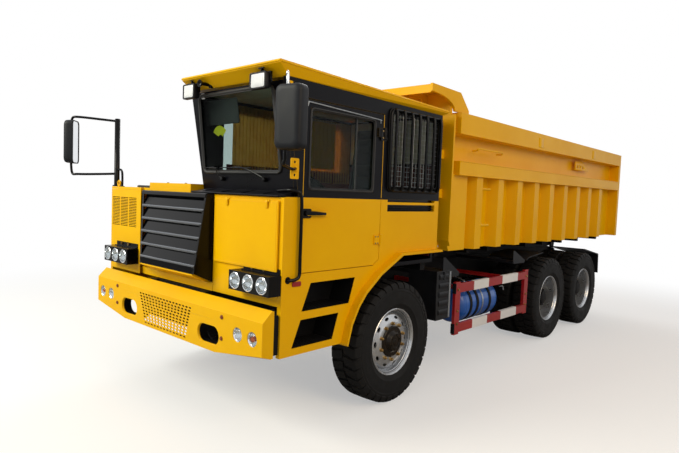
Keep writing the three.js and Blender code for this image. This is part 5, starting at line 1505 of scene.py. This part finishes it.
trimBoards = [  # finish, slot, block
    ("trimRed", redVinyl, "red_paint", (142, 150), (-1100, 560), (1320, 2130)),
    ("trimYellow", yellowEnamel, "yellow_paint", (166, 174), (-80, 280), (2150, 2640)),
    ("trimRear", creamVinyl, "seat_fabric", (160, 1250), (546, 552), (2230, 2670)),
    ("trimRearLow", redVinyl, "red_paint", (160, 1250), (546, 552), (1320, 2200)),
    ("trimCeiling", creamVinyl, "seat_fabric", (160, 1250), (-1380, 540), (2690, 2697)),
]
for name, finish, slot, xs, ys, zs in trimBoards:
    shape = bmesh.new()
    addBlock(shape, xs, ys, zs)
    if ys[1] - ys[0] < 20:  # piping on the rear boards
        for i in range(6):
            addTube(shape, [(xs[0] + 60 + i * 190, ys[0], zs[0] + 20),
                            (xs[0] + 60 + i * 190, ys[0], zs[1] - 20)], 5, 6)
    else:
        for i in range(5):
            y = ys[0] + (ys[1] - ys[0]) * (i + 1) / 6
            if zs[1] - zs[0] > 20:
                ends = (xs[1], zs[1] - 20), (xs[1], zs[0] + 20)
            else:  # the ceiling is piped across
                ends = (xs[0] + 30, zs[0]), (xs[1] - 30, zs[0])
            addTube(shape, [(x, y, z) for x, z in ends], 5, 6)
    finishShape(name, shape, finish, "chassis", slot, 2)
shape = bmesh.new()  # a pleated blind hangs over the rear part of the right window
blind = {"x": 146, "pleat": 12, "pitch": 20, "count": 80, "sheet": 2}
front = [(blind["x"] + blind["pleat"] * (i % 2), -1040 + i * blind["pitch"]) for i in range(blind["count"])]
addPrism(shape, "z", front + [(x + blind["sheet"], y) for x, y in front[::-1]], 2010, 2664)
finishShape("sideBlind", shape, blindCloth, "chassis", "seat_fabric", 0)
shape = bmesh.new()
addPlate(shape, roundedRing(180, 640, 2440, 2640, 24, 4), [], lambda u, v, w: at(u, pillarY(v) + 60 + w, v),
         8, 3)
finishShape("sunVisor", shape, sealRubber, "chassis", "black_plastic", 0)


# Seat: closed forms blown up as cloth, so that they crown and their sides pull in

padRun = {"pressure": 4.0, "frames": 16, "voxel": 6, "seam": 9, "sink": 11}


def makePad(name, node, half, place, cap, seams):
    hx, hy, hz = half
    shape = bmesh.new()
    rows = []
    for z, share in ((-hz, 0.90), (-hz * 0.6, 0.985), (0, 0.97), (hz * 0.6, 0.985), (hz, 0.90)):
        rows.append([Vector((u * share / 1000, v * share / 1000, z / 1000))
                     for u, v in roundedRing(-hx, hx, -hy, hy, 46, 5)])
    addLoft(shape, rows)
    piece = bpy.data.objects.new(name, closeShape(name, shape))
    bpy.context.scene.collection.objects.link(piece)
    remesh = piece.modifiers.new("remesh", "REMESH")
    remesh.mode, remesh.voxel_size = "VOXEL", padRun["voxel"] / 1000
    depsgraph = bpy.context.evaluated_depsgraph_get()
    before = bpy.data.meshes.new_from_object(piece.evaluated_get(depsgraph))
    rest = [v.co.copy() for v in before.vertices]
    piece.modifiers.clear()
    piece.data = before
    cloth = piece.modifiers.new("cloth", "CLOTH")
    cloth.settings.quality = 5
    cloth.settings.use_pressure = True
    cloth.settings.uniform_pressure_force = padRun["pressure"]
    cloth.settings.effector_weights.gravity = 0.0
    cloth.settings.tension_stiffness = cloth.settings.compression_stiffness = 12
    cloth.collision_settings.use_collision = False
    cloth.point_cache.frame_start, cloth.point_cache.frame_end = 1, padRun["frames"]
    scene = bpy.context.scene
    for step in range(1, padRun["frames"] + 1):
        scene.frame_set(step)
    depsgraph = bpy.context.evaluated_depsgraph_get()
    blown = bpy.data.meshes.new_from_object(piece.evaluated_get(depsgraph))
    piece.modifiers.clear()
    scene.frame_set(1)
    for vertex, start in zip(blown.vertices, rest):
        move = vertex.co - start
        if move.length > cap / 1000:
            vertex.co = start + move.normalized() * cap / 1000
    piece.data = blown
    for vertex in piece.data.vertices:  # stitched channels, then the pad's own place in the cab
        x, y, z = vertex.co * 1000
        if z > 0:
            sink = sum(math.exp(-((y - line) / padRun["seam"]) ** 2) for line in seams)
            sink += math.exp(-((abs(x) - hx * 0.62) / padRun["seam"]) ** 2)
            z -= min(1, sink) * padRun["sink"]
        vertex.co = at(*place(x, y, z))
    smoothing = piece.modifiers.new("smooth", "SUBSURF")
    smoothing.levels = smoothing.render_levels = 1
    piece.data.materials.clear()
    piece.data.materials.append(seatCloth)
    for face in piece.data.polygons:
        face.use_smooth = True
    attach(piece, "chassis")
    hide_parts(node)
    return piece


seat = {"x": 890, "lean": 0.16}


def lying(x, y, z):
    return (seat["x"] + x, -395 + y, 1730 + z)


def leaned(x, y, z):  # the backrest pad is drawn lying down, then stood up and leaned back
    up, out, c, s = y + 380, -z, math.cos(seat["lean"]), math.sin(seat["lean"])
    return (seat["x"] + x, -60 + 5 + out * c + up * s, 1800 + up * c - out * s)


makePad("seatCushion", "seat_cushion", (222, 226, 44), lying, 26, (-120, 0, 120))
makePad("seatBackrest", "seat_backrest", (218, 362, 46), leaned, 24, (-240, -120, 0, 120, 250))
shape = bmesh.new()  # bellows under the seat, and the stalk of the belt
for i in range(5):
    z = 1330 + i * 56
    ring = [(u, v, z) for u, v in roundedRing(684, 1096, -576, -164, 30, 4)]
    addTube(shape, ring, 13, 8, True)
addBent(shape, [(1136, -160, 1680), (1142, -200, 1760), (1138, -230, 1800)], 4, 9, 8)
finishShape("seatBellows", shape, mouldedPlastic, "chassis", "black_plastic", 0)
print("cab inside is built")
